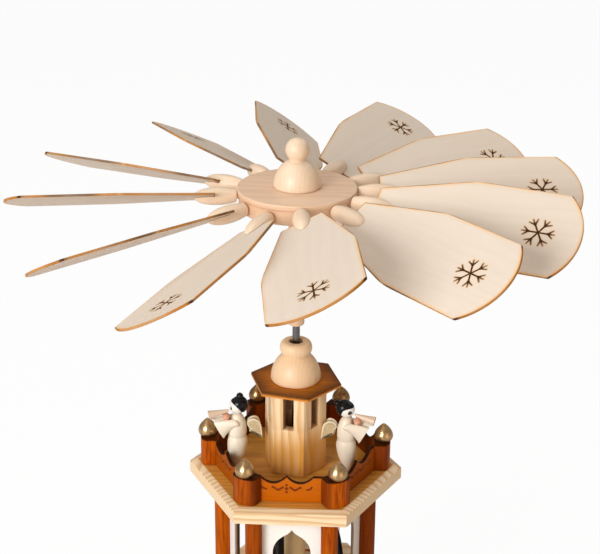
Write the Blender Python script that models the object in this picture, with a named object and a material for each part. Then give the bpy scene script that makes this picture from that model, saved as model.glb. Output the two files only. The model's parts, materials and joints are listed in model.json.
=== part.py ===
"""Wooden christmas pyramid: a fan wheel with twelve blades on a steel rod, above a tower with a
balcony, trumpet angels, a colonnade with a turntable, and a wide base with candle cups.

Metres, +Z up, front towards -Y. The origin is the middle of the base's underside.
"""
from math import acos, asin, cos, exp, pi, radians, sin, sqrt

import bmesh
import bpy
from mathutils import Matrix, Vector

# Driving dimensions, in metres and degrees

SEAT = 0.0003               # gap between pieces that rest on or are cut by each other
RUN = 0.0004                # gap round a turning shaft

BASE_CORNER = 0.140         # hexagon corner radius of the wide base
BASE_HEIGHT = 0.014
BASE_BEVEL = 0.002
PLINTH_CORNER = 0.080       # foot of the hexagonal drum on the base
PLINTH_HEIGHT = 0.008
DRUM_CORNER = 0.068
DRUM_HEIGHT = 0.058
CORNICE_CORNER = 0.074      # top of the drum, which carries the columns
CORNICE_HEIGHT = 0.008
NICHE_HALF_WIDTH = 0.019    # blind arches in the drum's faces
NICHE_DEPTH = 0.0025
NICHE_SILL = 0.007
NICHE_SPRING = 0.024
NICHE_RISE = 0.019
BEARING_RADIUS = 0.006
BEARING_HEIGHT = 0.009
BEARING_DEPTH = 0.007       # how far the bearing is let into the drum
BEARING_CONE_DEPTH = 0.005
BEARING_CONE_RADIUS = 0.0040

CUP_INSET = 0.024           # candle cups stand this far inside the base's corners
CUP_COUNT = 6
CUP_HEIGHT = 0.024
CUP_RADIUS = 0.012
CUP_WAIST = 0.0062
CUP_FOOT = 0.0105
SOCKET_RADIUS = 0.0073      # takes a 14 mm candle
SOCKET_DEPTH = 0.013

COLUMN_RADIUS = 0.0057
COLUMN_OUT = 0.0035         # column centres outside the screen's corners
COLONNADE_HEIGHT = 0.0954
RAIL_HEIGHT = 0.003         # sill and head frames that join the columns
RAIL_WIDTH = 0.0075
SCREEN_APOTHEM = 0.0407     # outer faces of the pierced arch panels
SCREEN_WALL = 0.0025
SCREEN_SILL = 0.005
ARCH_HALF_WIDTH = 0.0127
ARCH_SPRING = 0.0595        # height of the arch's straight sides above the screen's foot
ARCH_RISE = 0.014
ARCH_POINT = 0.004          # small pointed flick at the crown
ARCH_FLICK = 0.002          # how fast the point fades sideways

PLATE_HEIGHT = 0.0098       # balcony floor
PLATE_EDGE = 0.0122         # how far it stands out past the fence
FENCE_APOTHEM = 0.051       # outer faces of the balcony fence
FENCE_WALL = 0.0024
FENCE_HEIGHT = 0.0186       # at the newels
FENCE_DIP = 0.0049
FENCE_PEAK = 0.0188         # pointed middle of each panel
FENCE_SCALLOP = 0.0173      # width of one of a panel's two scallops
FENCE_SHIFT = 0.003         # how far the pointed middle sits left of the panel's middle
NEWEL_OUT = 0.0027          # newel and finial centres outside the fence's corners
NEWEL_WIDTH = 0.0176
NEWEL_INNER = 0.0070        # newel's flat back inside its centre
NEWEL_OUTER = 0.0048        # newel's round front outside its centre
NEWEL_HEIGHT = 0.019
FINIAL_RADIUS = 0.0064
FINIAL_HEIGHT = 0.0124

TOWER_CORNER = 0.0215
TOWER_HEIGHT = 0.0612
TOWER_BORE = 0.0125
TOWER_TURN = -12.3          # degrees that tower and roof are turned against the balcony
SLOT_WIDTH = 0.0073
SLOT_SILL = 0.0342          # slot bottom above the balcony floor
ROOF_CORNER = 0.0315
ROOF_HEIGHT = 0.0026
ROOF_BORE = 0.0045

DOME_RADIUS = 0.0170
DOME_CROWN = 0.0206         # height that the dome's ellipse would reach
WAIST_RADIUS = 0.0090
COLLAR_RADIUS = 0.01085
COLLAR_HEIGHT = 0.00976
DOME_BORE = 0.0034
BUSH_RADIUS = 0.0045
BUSH_HEIGHT = 0.0042
BUSH_RECESS = 0.0064        # depth of the bush's seat below the collar's top

ROD_RADIUS = 0.0025
ROD_POINT = 0.005
SLEEVE_RADIUS = 0.0075     # wooden axle inside the colonnade
SLEEVE_LIFT = 0.0012        # lower end above the bearing
SLEEVE_TOP = 0.012          # upper end above the balcony floor
TURNTABLE_GAP = 0.0017      # between its edge and the screen
TURNTABLE_HEIGHT = 0.004
TURNTABLE_LIFT = 0.0025     # underside above the axle's lower end
CAROLER_COUNT = 3
CAROLER_INSET = 0.009       # from the turntable's edge to the middle of each figure
CAROLER_FIRST = -125.0      # degrees, the one that shows through the front arch
CAROLER_RADIUS = 0.0082
CAROLER_CAPE = 0.046        # height of the cape
CAROLER_HEAD = 0.0043
CAROLER_NECK = 0.0022

FAN_RISE = 0.1954           # blade plane above the balcony floor
HUB_RADIUS = 0.0386
HUB_INSET = 0.001           # the hub's side is turned in below its top rim
HUB_RIM = 0.0033
HUB_HEIGHT = 0.0133
HUB_ABOVE = 0.005           # hub top above the blade plane
NECK_RADIUS = 0.00545
NECK_FLARE = 0.011
ROD_SHOWN = 0.0122          # bare rod between the dome and the neck
ROD_REACH = 0.0045          # rod top below the hub's top
KNOB_RADIUS = 0.0154
KNOB_CROWN = 0.0186
KNOB_NECK = 0.0055
KNOB_BALL = 0.0078
KNOB_WAIST = 0.0015         # height of the neck between bell and ball

BLADE_COUNT = 12
BLADE_FIRST = -83.8         # degrees, the blade at the front
BLADE_PITCH = 28.5          # degrees
BLADE_SEATED = 0.0132       # how far the blade's root is let into the peg's end
BLADE_SHOULDER = 0.0594     # distances along the blade from its root
BLADE_CORNER = 0.1187
BLADE_TIP = 0.1312
BLADE_ROOT_HALF = 0.014     # half widths at those places
BLADE_SHOULDER_HALF = 0.0298
BLADE_CORNER_HALF = 0.0293
BLADE_THICK = 0.0015
PEG_GAP = 0.0005            # between the hub's rim and the peg's shoulder
PEG_LENGTH = 0.0274
PEG_RADIUS = 0.0058
PEG_SWELL = 0.42            # share of the peg's length where it is thickest
PEG_ROOT = 0.0042
SPIGOT_RADIUS = 0.0021
SPIGOT_LENGTH = 0.0101

# How each blade stands in the wheel, in degrees: turned round the hub, raised, and pitched more
# than the rest. The wheel is handmade and its pegs sit a little unevenly.
BLADE_STAND = (
    (0, 0, -2), (0, -5.5, 0), (0, -4.5, 0), (4, 0.5, -4), (3, 0, -3), (-4, -1.5, -3.5),
    (-0.5, -0.5, 7), (-2, 1.5, -3), (-3, -0.5, 0), (-1, 0.5, 0), (1, 0, 9), (4, -1, 4),
)

ANGEL_TIP = 0.0010          # radius of the robe's point
ANGEL_SKIRT = 0.0068
ANGEL_SKIRT_HEIGHT = 0.0235
ANGEL_WAIST = 0.0056
ANGEL_JACKET = 0.0062
ANGEL_JACKET_HEIGHT = 0.0170
ANGEL_LEAN = 0.0016         # the body lies this far behind its point
ANGEL_NECK = 0.0022
ANGEL_HEAD = 0.0058
ANGEL_BUN = 0.0024
ANGEL_HAIR = 0.0061         # radius of the hair, a ball behind the face
ANGEL_HAIR_BACK = 0.0015    # its middle behind the head's
ANGEL_HAIR_UP = 0.0007      # and above it
SLEEVE_START = 0.0027
SLEEVE_CUFF = 0.0070        # half the long way of the open cuff
SLEEVE_CUFF_SIDE = 0.0021
SLEEVE_SPREAD = 0.0046      # shoulder distance from the middle
CUFF_SPREAD = 0.0028
CUFF_REACH = 0.0114         # cuff centre ahead of the robe's point
CUFF_HEIGHT = 0.0300
WING_LENGTH = 0.0150
WING_HALF = 0.0050
WING_THICK = 0.0012
WING_HEIGHT = 0.0222        # wing tip above the robe's point
WING_BACK = 0.0149
WING_SPREAD = 0.0028        # distance of the wing tips from the middle
WING_OPEN = 16.0            # degrees that each wing opens
WING_TILT = 20.0            # degrees that it leans forward at the top
TRUMPET_MOUTH = 0.0009
TRUMPET_BELL = 0.0033
TRUMPET_BORE = 0.0023
TRUMPET_LENGTH = 0.0142
TRUMPET_DROP = 12.0         # degrees below level
MOUTH_DROP = 30.0           # degrees from the head's middle down to the mouth
HANDS_RADIUS = 0.0024
HANDS_HALF = 0.0036         # half width of the two hands held together
HANDS_PLACE = 0.6           # share of the trumpet's length where the hands hold it
LEFT_ANGEL_GAP = 0.0072     # from the fence to the point of the robe
LEFT_ANGEL_ANGLE = -168.1   # degrees round the tower
LEFT_BUN_ANGLE = 14.0       # degrees from upright towards the back
RIGHT_ANGEL_GAP = 0.0112
RIGHT_ANGEL_ANGLE = -14.3
RIGHT_BUN_ANGLE = 62.0

# Heights and places worked out from the stack

HEXAGON = cos(pi / 6)
MARGIN = 0.002              # how far a cutter reaches past what it cuts
FLAT = radians(0.1)         # faces that meet at less than this are one flat face
DRUM_Z = BASE_HEIGHT + PLINTH_HEIGHT
DRUM_TOP = DRUM_Z + DRUM_HEIGHT + CORNICE_HEIGHT
COLONNADE_Z = DRUM_TOP + SEAT
PLATE_Z = COLONNADE_Z + COLONNADE_HEIGHT + SEAT
FLOOR = PLATE_Z + PLATE_HEIGHT
TOWER_Z = FLOOR + SEAT
ROOF_Z = TOWER_Z + TOWER_HEIGHT + SEAT
DOME_Z = ROOF_Z + ROOF_HEIGHT + SEAT
WAIST_Z = DOME_CROWN * sqrt(1 - (WAIST_RADIUS / DOME_RADIUS) ** 2)
DOME_TOP = DOME_Z + WAIST_Z + COLLAR_HEIGHT
FAN_Z = FLOOR + FAN_RISE
HUB_TOP = FAN_Z + HUB_ABOVE
HUB_BOTTOM = HUB_TOP - HUB_HEIGHT
ROD_TOP = HUB_TOP - ROD_REACH - SEAT
BEARING_FOOT = DRUM_TOP - BEARING_DEPTH + SEAT
BEARING_TOP = BEARING_FOOT + BEARING_HEIGHT
CONE_BOTTOM = BEARING_TOP - BEARING_CONE_DEPTH
SLEEVE_Z = BEARING_TOP + SLEEVE_LIFT
TURNTABLE_Z = SLEEVE_Z + TURNTABLE_LIFT
COLUMN_RING = SCREEN_APOTHEM / HEXAGON + COLUMN_OUT
TURNTABLE_RADIUS = SCREEN_APOTHEM - SCREEN_WALL - TURNTABLE_GAP
FENCE_MIDDLE = FENCE_APOTHEM - FENCE_WALL / 2
NEWEL_RING = FENCE_MIDDLE / HEXAGON + NEWEL_OUT
PEG_START = HUB_RADIUS + PEG_GAP
PEG_END = PEG_START + PEG_LENGTH
SPIGOT_START = PEG_START - SPIGOT_LENGTH
BLADE_ROOT = PEG_END - BLADE_SEATED


def clear_scene():
    """Remove the objects, meshes and materials that a new file starts with."""
    for obj in list(bpy.data.objects):
        bpy.data.objects.remove(obj)
    for block in (bpy.data.meshes, bpy.data.materials):
        for item in list(block):
            block.remove(item)


def material(name, colour, roughness, metallic=0.0):
    """A Principled material with the part's colour."""
    made = bpy.data.materials.new(name)
    made.use_nodes = True
    shader = made.node_tree.nodes["Principled BSDF"]
    shader.inputs["Base Color"].default_value = (*colour, 1.0)
    shader.inputs["Roughness"].default_value = roughness
    shader.inputs["Metallic"].default_value = metallic
    made.diffuse_color = (*colour, 1.0)
    return made


def mesh_object(name, vertices, faces, finish=None, smooth=40.0):
    """An object from vertices and faces, with its faces turned outwards."""
    mesh = bpy.data.meshes.new(name)
    work = bmesh.new()
    points = [work.verts.new(vertex) for vertex in vertices]
    for face in faces:
        work.faces.new([points[index] for index in face])
    bmesh.ops.recalc_face_normals(work, faces=work.faces)
    work.to_mesh(mesh)
    work.free()
    return place_mesh(name, mesh, finish, smooth)


def place_mesh(name, mesh, finish=None, smooth=40.0):
    """Put a mesh into the scene as an object, shaded smooth up to an angle."""
    mesh.shade_smooth()
    mesh.set_sharp_from_angle(angle=radians(smooth))
    made = bpy.data.objects.new(name, mesh)
    bpy.context.collection.objects.link(made)
    if finish is not None:
        mesh.materials.append(finish)
    return made


def lathe(name, profile, steps, finish=None, start=0.0):
    """Turn a profile of (radius, height) points about Z. Points on the axis become poles.

    A profile whose ends lie on the axis is closed there; any other profile is a ring."""
    on_axis = profile[0][0] == 0.0 and profile[-1][0] == 0.0
    vertices, rings = [], []
    for radius, height in profile:
        if radius == 0.0:
            rings.append([len(vertices)])
            vertices.append((0.0, 0.0, height))
            continue
        rings.append(list(range(len(vertices), len(vertices) + steps)))
        for k in range(steps):
            angle = start + 2 * pi * k / steps
            vertices.append((radius * cos(angle), radius * sin(angle), height))
    faces = []
    count = len(rings)
    for low in range(count - 1 if on_axis else count):
        bottom, top = rings[low], rings[(low + 1) % count]
        for k in range(steps):
            after = (k + 1) % steps
            if len(bottom) == 1:
                faces.append((bottom[0], top[after], top[k]))
            elif len(top) == 1:
                faces.append((bottom[k], bottom[after], top[0]))
            else:
                faces.append((bottom[k], bottom[after], top[after], top[k]))
    return mesh_object(name, vertices, faces, finish)


def prism(name, outline, low, high, finish=None, smooth=40.0):
    """Extrude a closed outline of (x, y) points from one height to another."""
    count = len(outline)
    vertices = [(x, y, low) for x, y in outline] + [(x, y, high) for x, y in outline]
    faces = [tuple(range(count)), tuple(range(count, 2 * count))]
    for k in range(count):
        after = (k + 1) % count
        faces.append((k, after, count + after, count + k))
    return mesh_object(name, vertices, faces, finish, smooth)


def hexagon(corner, turn=0.0):
    """Corner points of a hexagon, the first one at the turn angle from +X."""
    return [(corner * cos(radians(turn + 60 * k)), corner * sin(radians(turn + 60 * k)))
            for k in range(6)]


def circle(radius, steps, x=0.0, y=0.0):
    """Points of a circle."""
    return [(x + radius * cos(2 * pi * k / steps), y + radius * sin(2 * pi * k / steps))
            for k in range(steps)]


def move(obj, matrix):
    """Move an object's mesh, leaving its origin where it is."""
    obj.data.transform(matrix)
    return obj


def combine(target, tools, operation):
    """Join tools to the target or cut them from it, and drop them."""
    for tool in tools:
        step = target.modifiers.new(operation, "BOOLEAN")
        step.operation = operation
        step.object = tool
    graph = bpy.context.evaluated_depsgraph_get()
    mesh = bpy.data.meshes.new_from_object(target.evaluated_get(graph))
    target.modifiers.clear()
    work = bmesh.new()
    work.from_mesh(mesh)
    bmesh.ops.dissolve_limit(work, angle_limit=FLAT, verts=work.verts, edges=work.edges)
    work.to_mesh(mesh)
    work.free()
    target.data = mesh
    mesh.shade_smooth()
    mesh.set_sharp_from_angle(angle=radians(40.0))
    for tool in tools:
        bpy.data.objects.remove(tool)
    return target


def turned(k, count, first=0.0):
    """Rotation that brings the +X direction to copy k of a ring of copies."""
    return Matrix.Rotation(radians(first + 360.0 * k / count), 4, "Z")


def empty(name, location, parent=None):
    """An axis for moving pieces."""
    made = bpy.data.objects.new(name, None)
    made.empty_display_size = 0.01
    made.location = location
    made.parent = parent
    bpy.context.collection.objects.link(made)
    return made


def attach(obj, parent):
    """Parent an object whose mesh is modelled in world space, keeping it where it is."""
    obj.data.transform(Matrix.Translation(-parent.matrix_world.translation))
    obj.parent = parent


def arch_outline(half, sill, spring, rise):
    """An ogee opening: straight sides, elliptic shoulders and a small pointed crown."""
    right = []
    for angle in (0, 15, 30, 45, 58, 70, 80, 90):
        x = 0.0 if angle == 90 else half * cos(radians(angle))
        lift = rise * sin(radians(angle)) + ARCH_POINT * exp(-x / ARCH_FLICK)
        right.append((x, spring + lift))
    left = [(-x, z) for x, z in reversed(right[:-1])]
    return [(-half, sill), (half, sill), *right, *left]


# Base, bearing and candle cups

def build_base(finish):
    """The wide hexagonal base and the drum on it, with blind arches and the bearing's pocket."""
    base = prism("base", hexagon(BASE_CORNER), 0.0, BASE_HEIGHT - BASE_BEVEL, finish)
    inner = BASE_CORNER - BASE_BEVEL / HEXAGON
    work = bmesh.new()
    work.from_mesh(base.data)
    top = max(work.faces, key=lambda face: face.calc_center_median().z)
    result = bmesh.ops.extrude_face_region(work, geom=[top])
    raised = [item for item in result["geom"] if isinstance(item, bmesh.types.BMVert)]
    bmesh.ops.delete(work, geom=[top], context="FACES_ONLY")
    for vertex in raised:
        vertex.co.x *= inner / BASE_CORNER
        vertex.co.y *= inner / BASE_CORNER
        vertex.co.z = BASE_HEIGHT
    bmesh.ops.recalc_face_normals(work, faces=work.faces)
    work.to_mesh(base.data)
    work.free()
    cornice = DRUM_TOP - CORNICE_HEIGHT
    tiers = [prism("plinth", hexagon(PLINTH_CORNER), BASE_HEIGHT - MARGIN, DRUM_Z),
             prism("drum", hexagon(DRUM_CORNER), DRUM_Z - MARGIN, cornice + MARGIN),
             prism("cornice", hexagon(CORNICE_CORNER), cornice, DRUM_TOP)]
    combine(base, tiers, "UNION")
    apothem = DRUM_CORNER * HEXAGON
    outline = arch_outline(NICHE_HALF_WIDTH, NICHE_SILL, NICHE_SPRING, NICHE_RISE)
    cuts = []
    for k in range(6):
        niche = prism("niche", outline, apothem - NICHE_DEPTH, apothem + MARGIN)
        upright = Matrix.Translation((0, 0, DRUM_Z)) @ Matrix.Rotation(pi / 2, 4, "X")
        cuts.append(move(niche, turned(k, 6) @ upright))
    pocket_floor = DRUM_TOP - BEARING_DEPTH
    cuts.append(prism("pocket", circle(BEARING_RADIUS + SEAT, 24), pocket_floor, DRUM_TOP + MARGIN))
    return combine(base, cuts, "DIFFERENCE")


def build_bearing(finish):
    profile = [(0.0, BEARING_FOOT), (BEARING_RADIUS, BEARING_FOOT), (BEARING_RADIUS, BEARING_TOP),
               (BEARING_CONE_RADIUS, BEARING_TOP), (0.0, CONE_BOTTOM)]
    return lathe("bearing_cup", profile, 24, finish)


def build_cup(k, finish):
    foot = BASE_HEIGHT + SEAT
    top = foot + CUP_HEIGHT
    floor = top - SOCKET_DEPTH
    bowl = [(CUP_WAIST + (CUP_RADIUS - CUP_WAIST) * sin(radians(angle)),
             foot + CUP_HEIGHT * 0.38 + (CUP_HEIGHT * 0.42) * (1 - cos(radians(angle))))
            for angle in (0, 30, 60, 90)]
    profile = [(0.0, foot), (CUP_FOOT, foot), (CUP_FOOT, foot + CUP_HEIGHT * 0.12),
               (CUP_WAIST, foot + CUP_HEIGHT * 0.26), *bowl, (CUP_RADIUS, top),
               (SOCKET_RADIUS, top), (SOCKET_RADIUS, floor), (0.0, floor)]
    cup = lathe(f"candle_cup_{k + 1}", profile, 16, finish)
    return move(cup, turned(k, CUP_COUNT) @ Matrix.Translation((BASE_CORNER - CUP_INSET, 0, 0)))


# Colonnade

def build_colonnade(finish):
    low, high = COLONNADE_Z, COLONNADE_Z + COLONNADE_HEIGHT
    inside = SCREEN_APOTHEM + SEAT
    rail = hexagon((inside + RAIL_WIDTH) / HEXAGON)
    made = prism("colonnade", rail, low, low + RAIL_HEIGHT, finish)
    pieces = [prism("head", rail, high - RAIL_HEIGHT, high)]
    for x, y in hexagon(COLUMN_RING):
        pieces.append(prism("column", circle(COLUMN_RADIUS, 16, x, y), low, high))
    combine(made, pieces, "UNION")
    room = prism("room", hexagon(inside / HEXAGON), low - MARGIN, high + MARGIN)
    return combine(made, [room], "DIFFERENCE")


def build_screen(finish):
    low, high = COLONNADE_Z, COLONNADE_Z + COLONNADE_HEIGHT
    inside = SCREEN_APOTHEM - SCREEN_WALL
    ring = prism("arch_screen", hexagon(SCREEN_APOTHEM / HEXAGON), low, high, finish)
    outline = arch_outline(ARCH_HALF_WIDTH, SCREEN_SILL, ARCH_SPRING, ARCH_RISE)
    tools = [prism("room", hexagon(inside / HEXAGON), low - MARGIN, high + MARGIN)]
    for k in range(3):
        tool = prism("arch", outline, -SCREEN_APOTHEM - MARGIN, SCREEN_APOTHEM + MARGIN)
        upright = Matrix.Translation((0, 0, low)) @ Matrix.Rotation(pi / 2, 4, "X")
        move(tool, Matrix.Rotation(radians(60 * k), 4, "Z") @ upright)
        tools.append(tool)
    return combine(ring, tools, "DIFFERENCE")


# Balcony

def build_plate(finish):
    corner = (FENCE_APOTHEM + PLATE_EDGE) / HEXAGON
    plate = prism("balcony_plate", hexagon(corner), PLATE_Z, FLOOR, finish)
    bore = prism("bore", circle(SLEEVE_RADIUS + RUN, 24), PLATE_Z - MARGIN, FLOOR + MARGIN)
    return combine(plate, [bore], "DIFFERENCE")


def fence_outline(half, foot):
    """One fence panel from the front: two scallops beside a pointed middle, and level ends."""
    level = foot + FENCE_HEIGHT
    points = [(-half, foot), (half, foot), (half, level)]
    scallops = 7
    for side in (1, -1):
        steps = range(scallops + 1) if side == 1 else range(scallops - 1, -1, -1)
        for k in steps:
            share = k / scallops
            ends = level + (FENCE_PEAK - FENCE_HEIGHT) * share
            height = ends - FENCE_DIP * sin(pi * share) ** 0.8
            points.append((side * FENCE_SCALLOP * (1 - share) - FENCE_SHIFT, height))
    return [*points, (-half, level)]


def newel_outline():
    """A newel in plan, standing at +X: flat inside, rounded outside."""
    flat = NEWEL_RING - NEWEL_INNER
    bow = [(NEWEL_RING + NEWEL_OUTER * cos(radians(angle)),
            NEWEL_WIDTH / 2 * sin(radians(angle))) for angle in range(-90, 91, 20)]
    return [(flat, NEWEL_WIDTH / 2), (flat, -NEWEL_WIDTH / 2), *bow]


def build_balustrade(finish):
    foot = FLOOR + SEAT
    pieces = []
    for k in range(6):
        newel = prism("newel", newel_outline(), foot, foot + NEWEL_HEIGHT)
        pieces.append(move(newel, turned(k, 6)))
    for k in range(6):
        half = (FENCE_MIDDLE / HEXAGON - FENCE_WALL) / 2
        panel = prism("panel", fence_outline(half, foot), -FENCE_WALL / 2, FENCE_WALL / 2)
        upright = Matrix.Translation((0, -FENCE_MIDDLE, 0)) @ Matrix.Rotation(pi / 2, 4, "X")
        pieces.append(move(panel, turned(k, 6) @ upright))
    made = pieces.pop(0)
    made.name = "balustrade"
    made.data.materials.append(finish)
    return combine(made, pieces, "UNION")


def build_finial(k, finish):
    foot = FLOOR + SEAT + NEWEL_HEIGHT + SEAT
    shape = ((0.62, 0.0), (0.9, 0.12), (1.0, 0.3), (0.95, 0.45), (0.84, 0.58), (0.68, 0.7),
             (0.48, 0.82), (0.24, 0.93))
    profile = [(0.0, foot)]
    profile += [(FINIAL_RADIUS * wide, foot + FINIAL_HEIGHT * high) for wide, high in shape]
    profile += [(0.0, foot + FINIAL_HEIGHT)]
    finial = lathe(f"finial_{k + 1}", profile, 12, finish)
    return move(finial, turned(k, 6) @ Matrix.Translation((NEWEL_RING, 0, 0)))


# Tower, roof and dome

def build_tower(finish):
    top = TOWER_Z + TOWER_HEIGHT
    tower = prism("tower", hexagon(TOWER_CORNER, TOWER_TURN), TOWER_Z, top, finish)
    bore = prism("bore", circle(TOWER_BORE, 30), TOWER_Z - MARGIN, top + MARGIN)
    combine(tower, [bore], "DIFFERENCE")
    half = SLOT_WIDTH / 2
    reach = TOWER_CORNER + MARGIN
    box = [(-reach, -half), (reach, -half), (reach, half), (-reach, half)]
    slots = []
    for k in range(3):
        slot = prism("slot", box, FLOOR + SLOT_SILL, top + MARGIN)
        slots.append(move(slot, Matrix.Rotation(radians(TOWER_TURN + 30 + 60 * k), 4, "Z")))
    return combine(tower, slots, "DIFFERENCE")


def build_roof(finish):
    top = ROOF_Z + ROOF_HEIGHT
    roof = prism("roof", hexagon(ROOF_CORNER, TOWER_TURN), ROOF_Z, top, finish)
    bore = prism("bore", circle(ROOF_BORE, 20), ROOF_Z - MARGIN, top + MARGIN)
    return combine(roof, [bore], "DIFFERENCE")


def build_dome(finish):
    """A half-egg dome with a waist and a round collar, bored for the rod and its bush."""
    waist = DOME_Z + WAIST_Z
    end = acos(WAIST_RADIUS / DOME_RADIUS)
    bell = []
    for k in range(7):
        angle = end * k / 6
        bell.append((DOME_RADIUS * cos(angle), DOME_Z + DOME_CROWN * sin(angle)))
    middle = COLLAR_RADIUS - COLLAR_HEIGHT * 0.33
    collar = []
    for angle in (-45, -10, 25, 60, 90):
        out = middle + (COLLAR_RADIUS - middle) * cos(radians(angle))
        rise = waist + COLLAR_HEIGHT * (0.52 + 0.48 * sin(radians(angle)))
        collar.append((out, rise))
    seat = BUSH_RADIUS + SEAT
    profile = [(DOME_BORE, DOME_Z), *bell, *collar, (seat, DOME_TOP), (seat, DOME_TOP - BUSH_RECESS),
               (DOME_BORE, DOME_TOP - BUSH_RECESS)]
    return lathe("dome", profile, 26, finish)


def build_bush(finish):
    foot = DOME_TOP - BUSH_RECESS + SEAT
    hole = ROD_RADIUS + RUN
    profile = [(hole, foot), (BUSH_RADIUS, foot), (BUSH_RADIUS, foot + BUSH_HEIGHT),
               (hole, foot + BUSH_HEIGHT)]
    return lathe("dome_bush", profile, 20, finish)


# Rod, axle, turntable and carolers

def build_rod(finish):
    point = CONE_BOTTOM + SEAT
    dome = ROD_RADIUS * 0.4
    profile = [(0.0, point), (ROD_RADIUS, point + ROD_POINT), (ROD_RADIUS, ROD_TOP - dome),
               (ROD_RADIUS - dome, ROD_TOP), (0.0, ROD_TOP)]
    return lathe("steel_rod", profile, 20, finish)


def build_axle(finish):
    low, high = SLEEVE_Z, FLOOR + SLEEVE_TOP
    hole = ROD_RADIUS + SEAT
    profile = [(hole, low), (SLEEVE_RADIUS, low), (SLEEVE_RADIUS, high), (hole, high)]
    return lathe("axle_sleeve", profile, 24, finish)


def build_turntable(finish):
    low, high = TURNTABLE_Z, TURNTABLE_Z + TURNTABLE_HEIGHT
    hole = SLEEVE_RADIUS + SEAT
    edge = TURNTABLE_HEIGHT / 4
    profile = [(hole, low), (TURNTABLE_RADIUS - edge, low), (TURNTABLE_RADIUS, low + edge),
               (TURNTABLE_RADIUS, high - edge), (TURNTABLE_RADIUS - edge, high), (hole, high)]
    return lathe("turntable", profile, 30, finish)


def build_caroler(k, finish):
    """A figure in a bell-shaped cape with a round head and a flat cap."""
    foot = TURNTABLE_Z + TURNTABLE_HEIGHT + SEAT
    profile = [(0.0, foot)]
    for share in (0.0, 0.08, 0.35, 0.65, 0.85, 0.96):
        wide = CAROLER_NECK + (CAROLER_RADIUS - CAROLER_NECK) * cos(pi / 2 * share) ** 0.62
        profile.append((wide, foot + CAROLER_CAPE * share))
    centre = foot + CAROLER_CAPE + CAROLER_HEAD * 0.85
    for angle in (-58, -30, 0, 30):
        profile.append((CAROLER_HEAD * cos(radians(angle)),
                        centre + CAROLER_HEAD * sin(radians(angle))))
    cap = CAROLER_HEAD * 0.95
    profile += [(cap, centre + CAROLER_HEAD * 0.75), (cap, centre + CAROLER_HEAD * 1.1),
                (0.0, centre + CAROLER_HEAD * 1.2)]
    caroler = lathe(f"caroler_{k + 1}", profile, 12, finish)
    out = Matrix.Translation((TURNTABLE_RADIUS - CAROLER_INSET, 0, 0))
    place = turned(k, CAROLER_COUNT, CAROLER_FIRST) @ out
    return move(caroler, place)


# Fan wheel

def build_hub(finish):
    """The hub disc with its long neck underneath, bored for the rod and for the pegs."""
    foot = DOME_TOP + ROD_SHOWN
    side = HUB_RADIUS - HUB_INSET
    bore = ROD_RADIUS + RUN
    profile = [(0.0, ROD_TOP + SEAT), (bore, ROD_TOP + SEAT), (bore, foot)]
    for angle in (0, 45, 90):
        profile.append((bore + (NECK_RADIUS - bore) * (0.5 + 0.5 * sin(radians(angle))),
                        foot + NECK_RADIUS * (1 - cos(radians(angle)))))
    profile += [(NECK_RADIUS, HUB_BOTTOM - 0.6 * NECK_FLARE),
                (NECK_RADIUS * 1.15, HUB_BOTTOM - 0.25 * NECK_FLARE), (NECK_FLARE, HUB_BOTTOM),
                (side, HUB_BOTTOM), (side, HUB_TOP - HUB_RIM - HUB_INSET),
                (HUB_RADIUS, HUB_TOP - HUB_RIM), (HUB_RADIUS, HUB_TOP), (0.0, HUB_TOP)]
    hub = lathe("fan_hub", profile, 36, finish)
    holes = []
    for k in range(BLADE_COUNT):
        hole = prism("hole", circle(SPIGOT_RADIUS + SEAT, 8), SPIGOT_START - SEAT,
                     HUB_RADIUS + MARGIN)
        along = Matrix.Rotation(pi / 2, 4, "Y")
        place = Matrix.Translation((0, 0, FAN_Z)) @ blade_turn(k).to_matrix().to_4x4()
        holes.append(move(hole, place @ along))
    return combine(hub, holes, "DIFFERENCE")


def build_knob(finish):
    foot = HUB_TOP + SEAT
    profile = [(0.0, foot)]
    end = acos(KNOB_NECK / KNOB_RADIUS)
    for k in range(7):
        angle = end * k / 6
        profile.append((KNOB_RADIUS * cos(angle), foot + KNOB_CROWN * sin(angle)))
    start = -acos(KNOB_NECK / KNOB_BALL)
    centre = profile[-1][1] + KNOB_WAIST - KNOB_BALL * sin(start)
    for k in range(8):
        angle = start + (pi / 2 - start) * k / 8
        profile.append((KNOB_BALL * cos(angle), centre + KNOB_BALL * sin(angle)))
    profile.append((0.0, centre + KNOB_BALL))
    return lathe("fan_knob", profile, 20, finish)


def blade_turn(k):
    """How blade k stands: X along its peg, Y across the blade, Z out of its upper face."""
    round_hub, raised, pitched = BLADE_STAND[k % len(BLADE_STAND)]
    heading = BLADE_FIRST - 360.0 / BLADE_COUNT * k + round_hub
    turn = Matrix.Rotation(radians(heading), 3, "Z")
    lift = Matrix.Rotation(radians(-raised), 3, "Y")
    pitch = Matrix.Rotation(radians(BLADE_PITCH + pitched), 3, "X")
    return (turn @ lift @ pitch).to_euler()


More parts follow.
